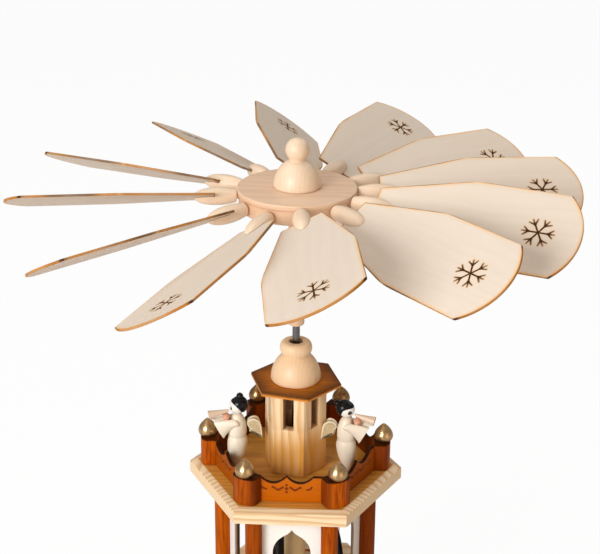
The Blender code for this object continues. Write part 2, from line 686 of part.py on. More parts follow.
def peg_mesh(finish):
    """A turned egg-shaped dowel along X with a spigot, slotted for the blade's root."""
    profile = [(0.0, SPIGOT_START), (SPIGOT_RADIUS, SPIGOT_START), (SPIGOT_RADIUS, PEG_START),
               (PEG_ROOT, PEG_START)]
    for share in (0.2, PEG_SWELL, 0.68, 0.86, 0.96):
        swell = PEG_ROOT + (PEG_RADIUS - PEG_ROOT) * sin(pi / 2 * min(1.0, share / PEG_SWELL))
        close = sqrt(1 - max(0.0, (share - PEG_SWELL) / (1 - PEG_SWELL)) ** 2.2)
        profile.append((swell * close, PEG_START + PEG_LENGTH * share))
    profile.append((0.0, PEG_END))
    peg = lathe("peg", profile, 12, finish)
    move(peg, Matrix.Rotation(pi / 2, 4, "Y"))
    half = BLADE_THICK / 2 + SEAT
    wide = PEG_RADIUS + MARGIN
    box = [(BLADE_ROOT - SEAT, -wide), (PEG_END + MARGIN, -wide), (PEG_END + MARGIN, wide),
           (BLADE_ROOT - SEAT, wide)]
    combine(peg, [prism("slot", box, -half, half)], "DIFFERENCE")
    mesh = peg.data
    bpy.data.objects.remove(peg)
    return mesh


def blade_outline():
    """Blade in plan along X: narrow root, widening to the shoulders, with an arched tip."""
    bulge = BLADE_TIP - BLADE_CORNER
    radius = (BLADE_CORNER_HALF ** 2 + bulge ** 2) / (2 * bulge)
    end = asin(min(1.0, BLADE_CORNER_HALF / radius))
    if bulge > radius:
        end = pi - end
    centre = BLADE_ROOT + BLADE_TIP - radius
    shoulder = BLADE_ROOT + BLADE_SHOULDER
    tip = []
    for k in range(9):
        angle = -end + 2 * end * k / 8
        tip.append((centre + radius * cos(angle), radius * sin(angle)))
    return [(BLADE_ROOT, -BLADE_ROOT_HALF), (shoulder, -BLADE_SHOULDER_HALF), *tip,
            (shoulder, BLADE_SHOULDER_HALF), (BLADE_ROOT, BLADE_ROOT_HALF)]


def blade_mesh(finish):
    blade = prism("blade", blade_outline(), -BLADE_THICK / 2, BLADE_THICK / 2, finish, 30.0)
    mesh = blade.data
    bpy.data.objects.remove(blade)
    return mesh


# Trumpet angels

def sleeve(side):
    """One wide sleeve, from the shoulder to an open cuff that hangs down."""
    start = Vector((-ANGEL_LEAN - 0.0004, side * SLEEVE_SPREAD,
                    ANGEL_SKIRT_HEIGHT + ANGEL_JACKET_HEIGHT * 0.74))
    stop = Vector((CUFF_REACH, side * CUFF_SPREAD, CUFF_HEIGHT))
    up = Vector((0.47, 0.0, 0.88))
    across = Vector((0.0, 1.0, 0.0))
    steps = 10
    vertices = []
    for share in (0.0, 0.5, 1.0):
        centre = start.lerp(stop, share)
        tall = SLEEVE_START + (SLEEVE_CUFF - SLEEVE_START) * share ** 1.4
        wide = SLEEVE_START + (SLEEVE_CUFF_SIDE - SLEEVE_START) * share
        for k in range(steps):
            angle = 2 * pi * k / steps
            vertices.append(centre + tall * cos(angle) * up + wide * sin(angle) * across)
    faces = [tuple(range(steps)), tuple(range(2 * steps, 3 * steps))]
    for ring in range(2):
        for k in range(steps):
            low, after = ring * steps, (k + 1) % steps
            faces.append((low + k, low + after, low + steps + after, low + steps + k))
    return mesh_object("sleeve", vertices, faces)


def wing(side):
    """A leaf-shaped wing, a teardrop outline with its point down, opened to one side."""
    outline = []
    for k in range(12):
        angle = 2 * pi * k / 12
        along = WING_LENGTH / 2 * (1 - cos(angle))
        across = WING_HALF * sin(angle) * sin(angle / 2) * 1.25
        outline.append((across, along))
    made = prism("wing", outline, -WING_THICK / 2, WING_THICK / 2)
    upright = Matrix.Rotation(pi / 2, 4, "X")
    tilt = Matrix.Rotation(radians(WING_TILT), 4, "Y")
    spread = Matrix.Rotation(radians(-side * WING_OPEN), 4, "Z")
    hinge = Matrix.Translation((-WING_BACK, side * WING_SPREAD, WING_HEIGHT))
    return move(made, hinge @ spread @ tilt @ upright)


def build_angel_body(name, finish):
    profile = [(0.0, SEAT), (ANGEL_TIP, SEAT)]
    for share in (0.15, 0.35, 0.6, 0.85, 1.0):
        swell = sin(pi / 2 * min(1.0, share / 0.85))
        profile.append((ANGEL_TIP + (ANGEL_SKIRT - ANGEL_TIP) * swell,
                        SEAT + ANGEL_SKIRT_HEIGHT * share))
    top = ANGEL_SKIRT_HEIGHT
    profile.append((ANGEL_WAIST, top + ANGEL_JACKET_HEIGHT * 0.1))
    for share, wide in ((0.3, 1.0), (0.6, 0.94), (0.8, 0.72)):
        profile.append((ANGEL_JACKET * wide, top + ANGEL_JACKET_HEIGHT * share))
    profile += [(ANGEL_NECK, top + ANGEL_JACKET_HEIGHT), (0.0, top + ANGEL_JACKET_HEIGHT)]
    body = lathe(name, profile, 16, finish)
    height = top + ANGEL_JACKET_HEIGHT
    for vertex in body.data.vertices:
        vertex.co.x -= ANGEL_LEAN * min(1.0, 2 * vertex.co.z / height)
    mouth, along = trumpet_line()
    down = Vector((along.z, 0.0, -along.x))
    off = trumpet_radius(HANDS_PLACE) + SEAT + HANDS_RADIUS
    hands = mouth + along * TRUMPET_LENGTH * HANDS_PLACE + down * off
    folded = ball("hands", HANDS_RADIUS, Vector((0.0, 0.0, 0.0)), None, 8, 6)
    move(folded, Matrix.Scale(HANDS_HALF / HANDS_RADIUS, 4, Vector((0.0, 1.0, 0.0))))
    pieces = [sleeve(1), sleeve(-1), move(folded, Matrix.Translation(hands)), wing(1), wing(-1)]
    return combine(body, pieces, "UNION")


def head_centre():
    return Vector((-ANGEL_LEAN, 0.0, ANGEL_SKIRT_HEIGHT + ANGEL_JACKET_HEIGHT + SEAT + ANGEL_HEAD))


def trumpet_line():
    """The middle of the trumpet's mouthpiece at the lips, and its direction."""
    out = ANGEL_HEAD + SEAT + TRUMPET_MOUTH * sin(radians(MOUTH_DROP - TRUMPET_DROP))
    lean, drop = radians(MOUTH_DROP), radians(TRUMPET_DROP)
    mouth = head_centre() + Vector((out * cos(lean), 0.0, -out * sin(lean)))
    return mouth, Vector((cos(drop), 0.0, -sin(drop)))


def trumpet_radius(share):
    return TRUMPET_MOUTH + (TRUMPET_BELL - TRUMPET_MOUTH) * share ** 1.15


def ball(name, radius, centre, finish=None, steps=14, rows=8):
    angles = [radians(-90 + 180 * k / rows) for k in range(1, rows)]
    profile = [(radius * cos(angle), radius * sin(angle)) for angle in angles]
    made = lathe(name, [(0.0, -radius), *profile, (0.0, radius)], steps, finish)
    return move(made, Matrix.Translation(centre))


def build_angel_head(name, bun_angle, finish):
    """A round head with full hair behind it and a small bun, placed by its angle back from
    upright."""
    centre = head_centre()
    made = ball(name, ANGEL_HEAD, centre, finish)
    lean = radians(bun_angle)
    out = ANGEL_HEAD + ANGEL_BUN * 0.55
    bun = centre + Vector((-out * sin(lean), 0.0, out * cos(lean)))
    full = centre + Vector((-ANGEL_HAIR_BACK, 0.0, ANGEL_HAIR_UP))
    hair = [ball("hair", ANGEL_HAIR, full), ball("bun", ANGEL_BUN, bun, None, 10, 6)]
    return combine(made, hair, "UNION")


def build_angel_trumpet(name, finish):
    profile = [(0.0, 0.0), (TRUMPET_MOUTH, 0.0)]
    for share in (0.35, 0.7, 0.9, 1.0):
        profile.append((trumpet_radius(share), TRUMPET_LENGTH * share))
    profile += [(TRUMPET_BORE, TRUMPET_LENGTH), (0.0, TRUMPET_LENGTH * 0.72)]
    trumpet = lathe(name, profile, 12, finish)
    mouth, along = trumpet_line()
    aim = Vector((0.0, 0.0, 1.0)).rotation_difference(along).to_matrix().to_4x4()
    return move(trumpet, Matrix.Translation(mouth) @ aim)


def build_angel(side, gap, angle, bun_angle, finishes):
    """All pieces of one angel, facing out from the tower."""
    robe, head, horn = finishes
    pieces = [build_angel_body(f"angel_{side}_body", robe),
              build_angel_head(f"angel_{side}_head", bun_angle, head),
              build_angel_trumpet(f"angel_{side}_trumpet", horn)]
    out = Matrix.Translation((FENCE_APOTHEM - FENCE_WALL - gap, 0.0, FLOOR))
    for piece in pieces:
        move(piece, Matrix.Rotation(radians(angle), 4, "Z") @ out)


def main():
    clear_scene()
    pine = material("pine", (0.80, 0.60, 0.38), 0.5)
    pale = material("pale_wood", (0.82, 0.66, 0.48), 0.45)
    ply = material("blade_ply", (0.84, 0.76, 0.63), 0.5)
    stain = material("orange_stain", (0.50, 0.17, 0.03), 0.35)
    brown = material("roof_stain", (0.30, 0.10, 0.03), 0.4)
    white = material("white_panel", (0.85, 0.83, 0.78), 0.5)
    gold = material("gold", (0.80, 0.62, 0.30), 0.25, 1.0)
    steel = material("steel", (0.62, 0.62, 0.63), 0.25, 1.0)
    brass = material("brass", (0.80, 0.62, 0.32), 0.3, 1.0)
    ivory = material("ivory_robe", (0.86, 0.80, 0.68), 0.4)
    face = material("white_face", (0.90, 0.86, 0.82), 0.3)
    horn = material("cream_horn", (0.86, 0.74, 0.62), 0.35)
    black = material("black_cape", (0.02, 0.02, 0.02), 0.3)

    build_base(pine)
    build_bearing(brass)
    for k in range(CUP_COUNT):
        build_cup(k, pale)
    build_colonnade(stain)
    build_screen(white)
    build_plate(pine)
    build_balustrade(stain)
    for k in range(6):
        build_finial(k, gold)
    build_tower(pine)
    build_roof(brown)
    build_dome(pale)
    build_bush(steel)
    angel = (ivory, face, horn)
    build_angel("left", LEFT_ANGEL_GAP, LEFT_ANGEL_ANGLE, LEFT_BUN_ANGLE, angel)
    build_angel("right", RIGHT_ANGEL_GAP, RIGHT_ANGEL_ANGLE, RIGHT_BUN_ANGLE, angel)

    spin_axis = empty("spin_axis", (0.0, 0.0, 0.0))
    fan_axis = empty("fan_axis", (0.0, 0.0, FAN_Z), spin_axis)
    bpy.context.view_layer.update()
    turning = [build_rod(steel), build_axle(pale), build_turntable(pine)]
    turning += [build_caroler(k, black) for k in range(CAROLER_COUNT)]
    for piece in turning:
        attach(piece, spin_axis)
    for piece in (build_hub(pale), build_knob(pale)):
        attach(piece, fan_axis)
    peg, blade = peg_mesh(pale), blade_mesh(ply)
    for k in range(BLADE_COUNT):
        for name, mesh in (("peg", peg), ("blade", blade)):
            piece = bpy.data.objects.new(f"{name}_{k + 1}", mesh)
            bpy.context.collection.objects.link(piece)
            piece.parent = fan_axis
            piece.rotation_euler = blade_turn(k)


main()
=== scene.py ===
"""Finished pieces of a wooden christmas pyramid, built round its frame of solids.

The wheel has twelve scorched blades in turned pegs. It stands on a steel rod above a slotted
tower, whose balcony carries two angels with trumpets. Below are a colonnade with pierced arches
and turning figures, a drum, and a wide base with candle cups.

Every piece is a grid of points worked out with numpy, in metres, and keeps the coordinates that
it had before it was put in place as the attribute "own", in millimetres, for its material.
"""

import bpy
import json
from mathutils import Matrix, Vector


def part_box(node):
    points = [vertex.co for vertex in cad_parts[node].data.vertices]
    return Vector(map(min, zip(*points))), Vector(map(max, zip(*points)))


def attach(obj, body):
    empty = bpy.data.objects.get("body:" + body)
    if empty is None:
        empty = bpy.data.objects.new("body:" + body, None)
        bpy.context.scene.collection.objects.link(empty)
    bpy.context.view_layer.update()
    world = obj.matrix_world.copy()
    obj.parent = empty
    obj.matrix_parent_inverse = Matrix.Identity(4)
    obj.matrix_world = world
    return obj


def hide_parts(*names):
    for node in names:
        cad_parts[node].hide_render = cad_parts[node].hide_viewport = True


bl_info = {
    "name": "Christmas pyramid",
    "version": (1, 0, 0),
    "blender": (4, 5, 0),
    "location": "View3D > Sidebar > Pyramid",
    "description": "Builds the finished pieces of a wooden christmas pyramid round its frame",
    "category": "Add Mesh",
}

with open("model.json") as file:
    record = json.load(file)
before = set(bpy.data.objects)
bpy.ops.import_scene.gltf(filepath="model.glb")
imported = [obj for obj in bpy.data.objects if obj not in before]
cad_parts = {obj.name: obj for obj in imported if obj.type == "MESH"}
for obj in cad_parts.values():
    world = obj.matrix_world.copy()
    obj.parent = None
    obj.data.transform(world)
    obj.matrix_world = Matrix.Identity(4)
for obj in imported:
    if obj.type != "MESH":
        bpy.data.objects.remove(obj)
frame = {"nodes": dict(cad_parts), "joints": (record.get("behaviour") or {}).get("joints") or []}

import json
from math import acos, asin, atan2, cos, degrees, pi, radians, sin, sqrt

import bpy
import numpy as np
from bpy.props import FloatProperty, FloatVectorProperty, IntProperty, PointerProperty
from mathutils import Matrix

MM = 0.001
STAND, ROTOR, FAN = "stand", "rotor", "fan"
JOINTS = {joint["name"]: joint for joint in frame["joints"]}
BLADES = sum(name.startswith("blade_") for name in frame["nodes"])
FLOOR_HALF, FLOOR_LINES = 3.0, 13  # half the floor's side, and its rows of points
FLOOR_DROP = 0.0002  # the floor lies this much under the base
LAMP_AIM = (0.0, 0.0, 0.24)  # the place in the tower that the lamps face
WHITE = (1.0, 1.0, 1.0)
GAP = 0.0003  # room between a piece and what it stands on or goes round
FINE_EDGE = 0.0003  # rounding of a small piece's edges
SHARP = 1e-5  # cut of a corner that stays sharp
SLANT = cos(pi / 6)  # apothem of a hexagon whose corners lie at 1

# Painted shade on the stain, 0 to 1, anticlockwise from above, darker for pieces that lie in
# shade: in the middle and at the sides of each newel from +X on, whose sides also stand for
# scorched edges, on each column from +X on, and on each fence panel from the front on
NEWEL_SHADE_AND_SCORCH = ((0.1, 0.9), (0.75, 1.0), (0.75, 1.0), (0.0, 0.15), (0.42, 1.0), (0.0, 0.9))
COLUMN_SHADE = (0.85, 0.5, 0.5, 0.1, 0.55, 0.25)
PANEL_SHADE = (0.08, 0.55, 0.55, 0.55, 0.55, 0.55)


# Places that the frame gives

class Extent:
    """Where a solid of the frame lies: its middle, foot, top, height and half width."""

    def __init__(self, node):
        low, high = (np.array(corner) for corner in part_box(node))
        self.middle = (low + high) / 2
        self.foot, self.top = low[2], high[2]
        self.height = self.top - self.foot
        self.radius = (high[0] - low[0]) / 2


def turned(turn):
    """A turn about Z, given in degrees, as a 4 x 4 matrix."""
    angle = radians(turn)
    matrix = np.eye(4)
    matrix[:2, :2] = (cos(angle), -sin(angle)), (sin(angle), cos(angle))
    return matrix


def shifted(x=0.0, y=0.0, z=0.0):
    """A move as a 4 x 4 matrix."""
    matrix = np.eye(4)
    matrix[:3, 3] = x, y, z
    return matrix


def axes(x_axis, y_axis, z_axis, origin=(0.0, 0.0, 0.0)):
    """The matrix whose columns are three axes and an origin."""
    matrix = np.eye(4)
    for column, axis in enumerate((x_axis, y_axis, z_axis, origin)):
        matrix[:3, column] = axis
    return matrix


def blade_stand(k):
    """Place of blade k: X along its joint's axis, Z out of the solid's largest face."""
    joint = JOINTS[f"blade_{k}_pitch"]
    along = np.array(joint["axis"]) / np.linalg.norm(joint["axis"])
    mesh = frame["nodes"][f"blade_{k}"].data
    areas = np.empty(len(mesh.polygons))
    normals = np.empty(len(mesh.polygons) * 3)
    mesh.polygons.foreach_get("area", areas)
    mesh.polygons.foreach_get("normal", normals)
    up = normals.reshape(-1, 3)[areas.argmax()]
    up = up * np.sign(up[2])
    up = up - along * (up @ along)
    up = up / np.linalg.norm(up)
    return axes(along, np.cross(up, along), up, joint["pos_m"])


# Lines and outlines

def rounded(points, cut, steps=4, closed=False):
    """A line with its corners rounded: between A and B, which lie on both sides of corner P at the
    distance cut, it follows (1 - t)^2 A + 2 t (1 - t) P + t^2 B. A cut takes less than half of
    each side."""
    points = np.asarray(points, float)
    if closed:
        before, corner, after = np.roll(points, 1, 0), points, np.roll(points, -1, 0)
    else:
        before, corner, after = points[:-2], points[1:-1], points[2:]
    cut = np.broadcast_to(cut, len(corner))[:, None]
    ends = []
    for side in (before - corner, after - corner):
        share = cut / np.linalg.norm(side, axis=1, keepdims=True)
        ends.append((corner + side * np.minimum(share, 0.45))[:, None])
    t = np.linspace(0, 1, steps + 1)[None, :, None]
    curve = (1 - t) ** 2 * ends[0] + 2 * t * (1 - t) * corner[:, None] + t ** 2 * ends[1]
    curve = curve.reshape(-1, points.shape[1])
    line = curve if closed else np.vstack([points[:1], curve, points[-1:]])
    kept = np.linalg.norm(line - np.roll(line, 1, 0), axis=1) > 1e-7
    kept[0] = kept[0] or not closed
    return line[kept]


def ring_section(inner, outer, low, high, cut, steps=3):
    """The rounded outline of a ring's section, which is closed when it is carried round."""
    corners = [(inner, low), (outer, low), (outer, high), (inner, high)]
    return rounded(corners, cut, steps, closed=True)


def arc(centre, half_sizes, start, end, count):
    """Part of an ellipse: its centre plus its half sizes times cos t and sin t."""
    t = np.linspace(start, end, count)
    return np.stack([np.cos(t), np.sin(t)], axis=1) * half_sizes + centre


def flowing(points, count, closed=False):
    """A smooth curve through points: between two of them a cubic whose slopes there are half the
    step from the point before to the point after."""
    points = np.asarray(points, float)
    if closed:
        padded = np.vstack([points[-1:], points, points[:2]])
        share = np.arange(count) * (len(points) / count)
    else:
        padded = np.vstack([2 * points[0] - points[1], points, 2 * points[-1] - points[-2]])
        share = np.linspace(0, len(points) - 1, count)
    start = np.minimum(share.astype(int), len(padded) - 4)
    t = (share - start)[:, None]
    p0, p1, p2, p3 = (padded[start + k] for k in range(4))
    return (p1 + 0.5 * t * (p2 - p0) + t ** 2 * (p0 - 2.5 * p1 + 2 * p2 - 0.5 * p3)
            + t ** 3 * (1.5 * (p1 - p2) + 0.5 * (p3 - p0)))


def denser(outline, step):
    """A closed outline with more points on its long sides, about one in each step."""
    after = np.roll(outline, -1, 0)
    counts = np.maximum(1, np.round(np.linalg.norm(after - outline, axis=1) / step).astype(int))
    which = np.repeat(np.arange(len(outline)), counts)
    first = np.repeat(np.cumsum(counts) - counts, counts)
    share = ((np.arange(len(which)) - first) / counts[which])[:, None]
    return outline[which] * (1 - share) + after[which] * share


def inset(outline, way):
    """A closed outline moved inwards: each point goes that way times the sum of the two sides'
    normals over one plus their product. Its sides run anticlockwise."""
    side = np.roll(outline, -1, 0) - outline
    side = side / np.linalg.norm(side, axis=1, keepdims=True)
    normal = np.stack([-side[:, 1], side[:, 0]], axis=1)
    before = np.roll(normal, 1, 0)
    both = np.sum(normal * before, axis=1, keepdims=True)
    return outline + way * (normal + before) / np.maximum(0.3, 1 + both)


def board_rows(low, high, edge, flat=None, levels=()):
    """Rows (inset, height) of a board: a ring on its lower face, a rounded edge, its side with
    the levels asked for, a rounded edge and a ring on its upper face."""
    corner = arc((edge, edge), -edge, pi / 2, 0, 5)
    flat = (edge + 0.0003,) if flat is None else flat
    below = [(way, low) for way in flat[::-1]]
    between = [(0.0, level) for level in levels]
    above = [(way, high) for way in flat]
    rows = [below, corner + (0, low), between, corner[::-1] * (1, -1) + (0, high), above]
    return np.vstack([np.reshape(row, (-1, 2)) for row in rows])


def carried(outline, rows):
    """An outline carried up the rows: each row (inset, height) is the outline, moved in and up."""
    rings = np.stack([inset(outline, way) for way in rows[:, 0]])
    heights = np.broadcast_to(rows[:, 1, None, None], (*rings.shape[:2], 1))
    return np.concatenate([rings, heights], axis=2)


def circle(sides):
    """Angles at even steps round a circle."""
    return np.arange(sides) * (2 * pi / sides)


def around(radius, height, angle):
    """Points round Z: x = r cos a, y = r sin a, z = height."""
    return np.stack([radius * np.cos(angle), radius * np.sin(angle), height + 0 * angle], axis=2)


def revolved(profile, sides=72):
    """A profile of (radius, height) turned about Z."""
    return around(profile[:, 0, None], profile[:, 1, None], circle(sides))


def six_sided(profile, turn=0.0, round_share=0.0, sides=72):
    """A profile of (apothem, height) carried round a hexagon with a corner at the turn angle: the
    radius at angle a is the apothem over cos((a - turn) mod 60 - 30), or the apothem itself where
    the row's round share is 1."""
    angle = radians(turn) + circle(sides)
    spread = 1 / np.cos(np.mod(angle - radians(turn) + 1e-9, pi / 3) - pi / 6)
    share = np.broadcast_to(round_share, len(profile))[:, None]
    return around(profile[:, 0, None] * (spread * (1 - share) + share), profile[:, 1, None], angle)


def ellipsoid(half_sizes, centre=(0.0, 0.0, 0.0), sides=32, rows=20):
    """A closed ellipsoid: its half sizes times cos v cos u, cos v sin u and sin v."""
    v = np.linspace(-pi / 2, pi / 2, rows + 1)[:, None]
    return around(np.cos(v), np.sin(v), circle(sides)) * half_sizes + np.array(centre)


def bell(radius, crown, end, foot):
    """Profile of a bell: radius cos t out and crown sin t up, until it is as narrow as the end."""
    return arc((0, foot), (radius, crown), 0, acos(end / radius), 24)


# Meshes

class Piece:
    """One finished piece: grids of points that become a mesh with closed poles and ends.

    A grid's rows run up the outside and its columns anticlockwise round it, so its faces point
    outwards. Marks are numbers for each point that the material reads by name. Edges that turn by
    more degrees than the crease stay sharp."""

    def __init__(self, name, body, node, crease=38.0):
        self.name, self.body, self.node, self.crease = name, body, node, crease
        self.points, self.own, self.faces, self.marks, self.count = [], [], [], [], 0

    def add(self, grid, place=np.eye(4), loop=False, ends=(True, True), own=None, **marks):
        """Add a grid. With loop its last row meets the first, else open ends get a flat face."""
        own = grid if own is None else own
        index = self.count + np.arange(grid.shape[0] * grid.shape[1]).reshape(grid.shape[:2])
        pole = np.ptp(grid, axis=1).max(axis=1) < 1e-9
        index[pole] = index[pole][:, :1]
        low = index if loop else index[:-1]
        high = np.roll(index, -1, 0) if loop else index[1:]
        quads = np.stack([low, np.roll(low, -1, 1), np.roll(high, -1, 1), high], axis=2)
        quads = quads.reshape(-1, 4)
        bottom_point, top_point = quads[:, 0] == quads[:, 1], quads[:, 2] == quads[:, 3]
        self.faces += quads[~bottom_point & ~top_point].tolist()
        self.faces += quads[bottom_point & ~top_point][:, 1:].tolist()
        self.faces += quads[top_point & ~bottom_point][:, :3].tolist()
        if not loop and ends[0] and not pole[0]:
            self.faces.append(index[0, ::-1].tolist())
        if not loop and ends[1] and not pole[-1]:
            self.faces.append(index[-1].tolist())
        flat = grid.reshape(-1, 3)
        self.points.append(flat @ place[:3, :3].T + place[:3, 3])
        self.own.append(own.reshape(-1, 3) / MM)
        self.marks.append({name: np.broadcast_to(value, grid.shape[:2]).reshape(-1)
                           for name, value in marks.items()})
        self.count += len(flat)
        return self

    def build(self, finish, slot=None):
        """Make the object, give it its finish, tie it to its body and hide its solid."""
        points, own = np.vstack(self.points), np.vstack(self.own)
        used = np.unique(np.concatenate([np.array(face) for face in self.faces]))
        renumber = np.zeros(self.count, int)
        renumber[used] = np.arange(len(used))
        faces = [renumber[face].tolist() for face in self.faces]
        mesh = bpy.data.meshes.new(self.name)
        mesh.from_pydata(points[used].tolist(), [], faces)
        attribute = mesh.attributes.new("own", "FLOAT_VECTOR", "POINT")
        attribute.data.foreach_set("vector", own[used].astype(np.float32).ravel())
        for name in sorted({name for marks in self.marks for name in marks}):
            parts = [marks.get(name, np.zeros(len(part)))
                     for marks, part in zip(self.marks, self.points)]
            mark = mesh.attributes.new(name, "FLOAT", "POINT")
            mark.data.foreach_set("value", np.concatenate(parts)[used].astype(np.float32))
        mesh.shade_smooth()
        mesh.set_sharp_from_angle(angle=radians(self.crease))
        mesh.materials.append(finish)
        made = bpy.data.objects.new(self.name, mesh)
        bpy.context.scene.collection.objects.link(made)
        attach(made, self.body)
        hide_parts(self.node)


# Materials

def arithmetic(operation, swapped=False):
    """A method that adds a Math node for an operation on a value and on what is given to it."""
    def method(self, *others):
        values = enumerate((*others, self) if swapped else (self, *others))
        return self.finish.node("ShaderNodeMath", {"operation": operation}, dict(values))
    return method


class Value:
    """One socket of a material's nodes. Arithmetic on it adds Math nodes."""

    def __init__(self, finish, socket):
        self.finish, self.socket = finish, socket

    __add__, __radd__ = arithmetic("ADD"), arithmetic("ADD", True)
    __sub__, __rsub__ = arithmetic("SUBTRACT"), arithmetic("SUBTRACT", True)
    __mul__, __rmul__ = arithmetic("MULTIPLY"), arithmetic("MULTIPLY", True)
    __truediv__, __rtruediv__ = arithmetic("DIVIDE"), arithmetic("DIVIDE", True)
    __pow__, __abs__ = arithmetic("POWER"), arithmetic("ABSOLUTE")
    least, most = arithmetic("MINIMUM"), arithmetic("MAXIMUM")
    sine, cosine = arithmetic("SINE"), arithmetic("COSINE")
    root, fraction = arithmetic("SQRT"), arithmetic("FRACT")
    angle_to = arithmetic("ARCTAN2")  # the angle whose tangent is this value over the other

    def __neg__(self):
        return self * -1.0

    def rise(self, low, high):
        """0 below low, 1 above high and a smooth step between. Low may be the larger one."""
        inputs = {"Value": self, "From Min": low, "From Max": high}
        return self.finish.node("ShaderNodeMapRange", {"interpolation_type": "SMOOTHSTEP"}, inputs)


def distance(x, y):
    """How far (x, y) lies from the origin."""
    return (x ** 2.0 + y ** 2.0).root()


def four(colour):
    """A colour as a socket takes it, with its fourth number. Text is the name of one of the
    colours that a user may change."""
    if isinstance(colour, str):
        colour = getattr(bpy.context.scene.pyramid_colours, colour)
    return colour if isinstance(colour, Value) else (*colour, 1.0)


class Finish:
    """A material while its nodes are made."""

    def __init__(self, name="", made=None):
        self.made = made or bpy.data.materials.new(name)
        self.made.use_nodes = True
        self.made.node_tree.nodes.clear()
        self.kept = {}

    def node(self, kind, settings=None, inputs=None, output=0):
        """Add a node: its type, its settings, which come first, and what its sockets take."""
        made = self.made.node_tree.nodes.new(kind)
        for name, value in (settings or {}).items():
            setattr(made, name, value)
        for key, value in (inputs or {}).items():
            if isinstance(value, Value):
                self.made.node_tree.links.new(value.socket, made.inputs[key])
            else:
                made.inputs[key].default_value = value
        return Value(self, made.outputs[output]) if made.outputs else None

    def mark(self, name):
        """A number that the mesh keeps for each point."""
        key = ("mark", name)
        if key not in self.kept:
            self.kept[key] = self.node("ShaderNodeAttribute", {"attribute_name": name}, output=2)
        return self.kept[key]

    def own(self):
        """The piece's own coordinates x, y, z in millimetres, before it was put in place."""
        if "own" not in self.kept:
            place = self.node("ShaderNodeAttribute", {"attribute_name": "own"}, output=1)
            split = [self.node("ShaderNodeSeparateXYZ", None, {0: place}, k) for k in range(3)]
            self.kept["own"] = split
        return self.kept["own"]

    def vector(self, x, y, z):
        """Three numbers joined as a place or a grey."""
        return self.node("ShaderNodeCombineXYZ", None, {0: x, 1: y, 2: z})

    def noise(self, x, y, z, detail=2.0, roughness=0.5):
        """Soft noise between 0 and 1 at a place whose unit is one lump."""
        inputs = {"Vector": self.vector(x, y, z), "Scale": 1.0, "Detail": detail,
                  "Roughness": roughness}
        return self.node("ShaderNodeTexNoise", None, inputs)

    def cells(self, x, y, z):
        """A random number for each cell of a grain, and the distance from the cell's middle."""
        inputs = {"Vector": self.vector(x, y, z), "Scale": 1.0}
        colour = self.node("ShaderNodeTexVoronoi", None, inputs, 1)
        random = self.node("ShaderNodeSeparateColor", None, {0: colour})
        return random, self.node("ShaderNodeTexVoronoi", None, inputs, 0)

    def blend(self, share, first, second):
        """A colour between two others."""
        inputs = {0: share, 6: four(first), 7: four(second)}
        return self.node("ShaderNodeMix", {"data_type": "RGBA"}, inputs, 2)

    def shade(self, colour, share):
        """A colour made darker or lighter all through by a number near 1."""
        grey = self.vector(share, share, share)
        settings = {"data_type": "RGBA", "blend_type": "MULTIPLY"}
        return self.node("ShaderNodeMix", settings, {0: 1.0, 6: four(colour), 7: grey}, 2)

    def surface(self, colour, roughness, height, depth, strength, coat=(0.0, 0.03), specular=0.5,
                metallic=0.0):
        """Close the material: a surface with its colour, roughness, fine relief, the weight and
        roughness of its lacquer, and how much it mirrors."""
        relief = {"Height": height, "Distance": depth, "Strength": strength}
        inputs = {"Base Color": colour, "Roughness": roughness, "Metallic": metallic,
                  "Normal": self.node("ShaderNodeBump", None, relief), "Coat Weight": coat[0],
                  "Coat Roughness": coat[1], "Specular IOR Level": specular}
        shader = self.node("ShaderNodeBsdfPrincipled", None, inputs)
        self.node("ShaderNodeOutputMaterial", None, {"Surface": shader})
        return self.made


def growth(f, along, across, deep, spacing, pith, wander, seed):
    """Growth lines of sawn wood, 0 to 1: rings about a pith that runs along the grain, at a
    distance bent by slow noise, each dark at its outer side."""
    bend = f.noise(along * 0.012 + seed, across * 0.05, deep * 0.05 + seed)
    out = distance(across - pith[0], deep - pith[1])
    share = ((out + (bend - 0.5) * wander) / spacing).fraction()
    return share.rise(0.25, 0.86) * (1 - share.rise(0.88, 1.0))


def fibres(f, along, across, deep, fine, seed=0.0):
    """Fine streaks along the grain, 0 to 1."""
    return f.noise(along * 0.05 + seed, across * fine, deep * fine, 3.0, 0.6)


def tone(f, along, across, deep, seed):
    """Slow change of colour over a board, 0 to 1."""
    return f.noise(along * 0.02 + seed, across * 0.12, deep * 0.12)


def distance_to_line(x, y, start, end):
    """Distance from (x, y) to the stroke from start to end: the point is followed along the
    stroke as far as its ends, and the rest is the distance."""
    (x0, y0), (x1, y1) = start, end
    dx, dy = x1 - x0, y1 - y0
    square = dx * dx + dy * dy
    share = (((x - x0) * dx + (y - y0) * dy) / square).most(0.0).least(1.0)
    return distance(x - x0 - share * dx, y - y0 - share * dy)


def sawn(f, upright, spacing, pith, wander, fine, seeds=(0.0, 0.0, 0.0)):
    """Growth lines, fibres and slow tone of wood with its grain along X, or along Z if upright."""
    x, y, z = f.own()
    place = (z, x, y) if upright else (x, y, z)
    return (growth(f, *place, spacing, pith, wander, seeds[0]), fibres(f, *place, fine, seeds[1]),
            tone(f, *place, seeds[2]))


def streaks(f, along, across, deep, seed, spread=(0.05, 0.7, 0.7)):
    """Uneven uptake of a stain along the grain, 0 to 1."""
    return f.noise(along * spread[0] + seed, across * spread[1], deep * spread[2], 3.0, 0.6)


def finish_once(make):
    """Give back the material that a maker has made before, or let it make one now."""
    def found(*values):
        name = "_".join([make.__name__, *map(str, values)])
        return bpy.data.materials.get(name) or make(Finish(name), *values)
    return found


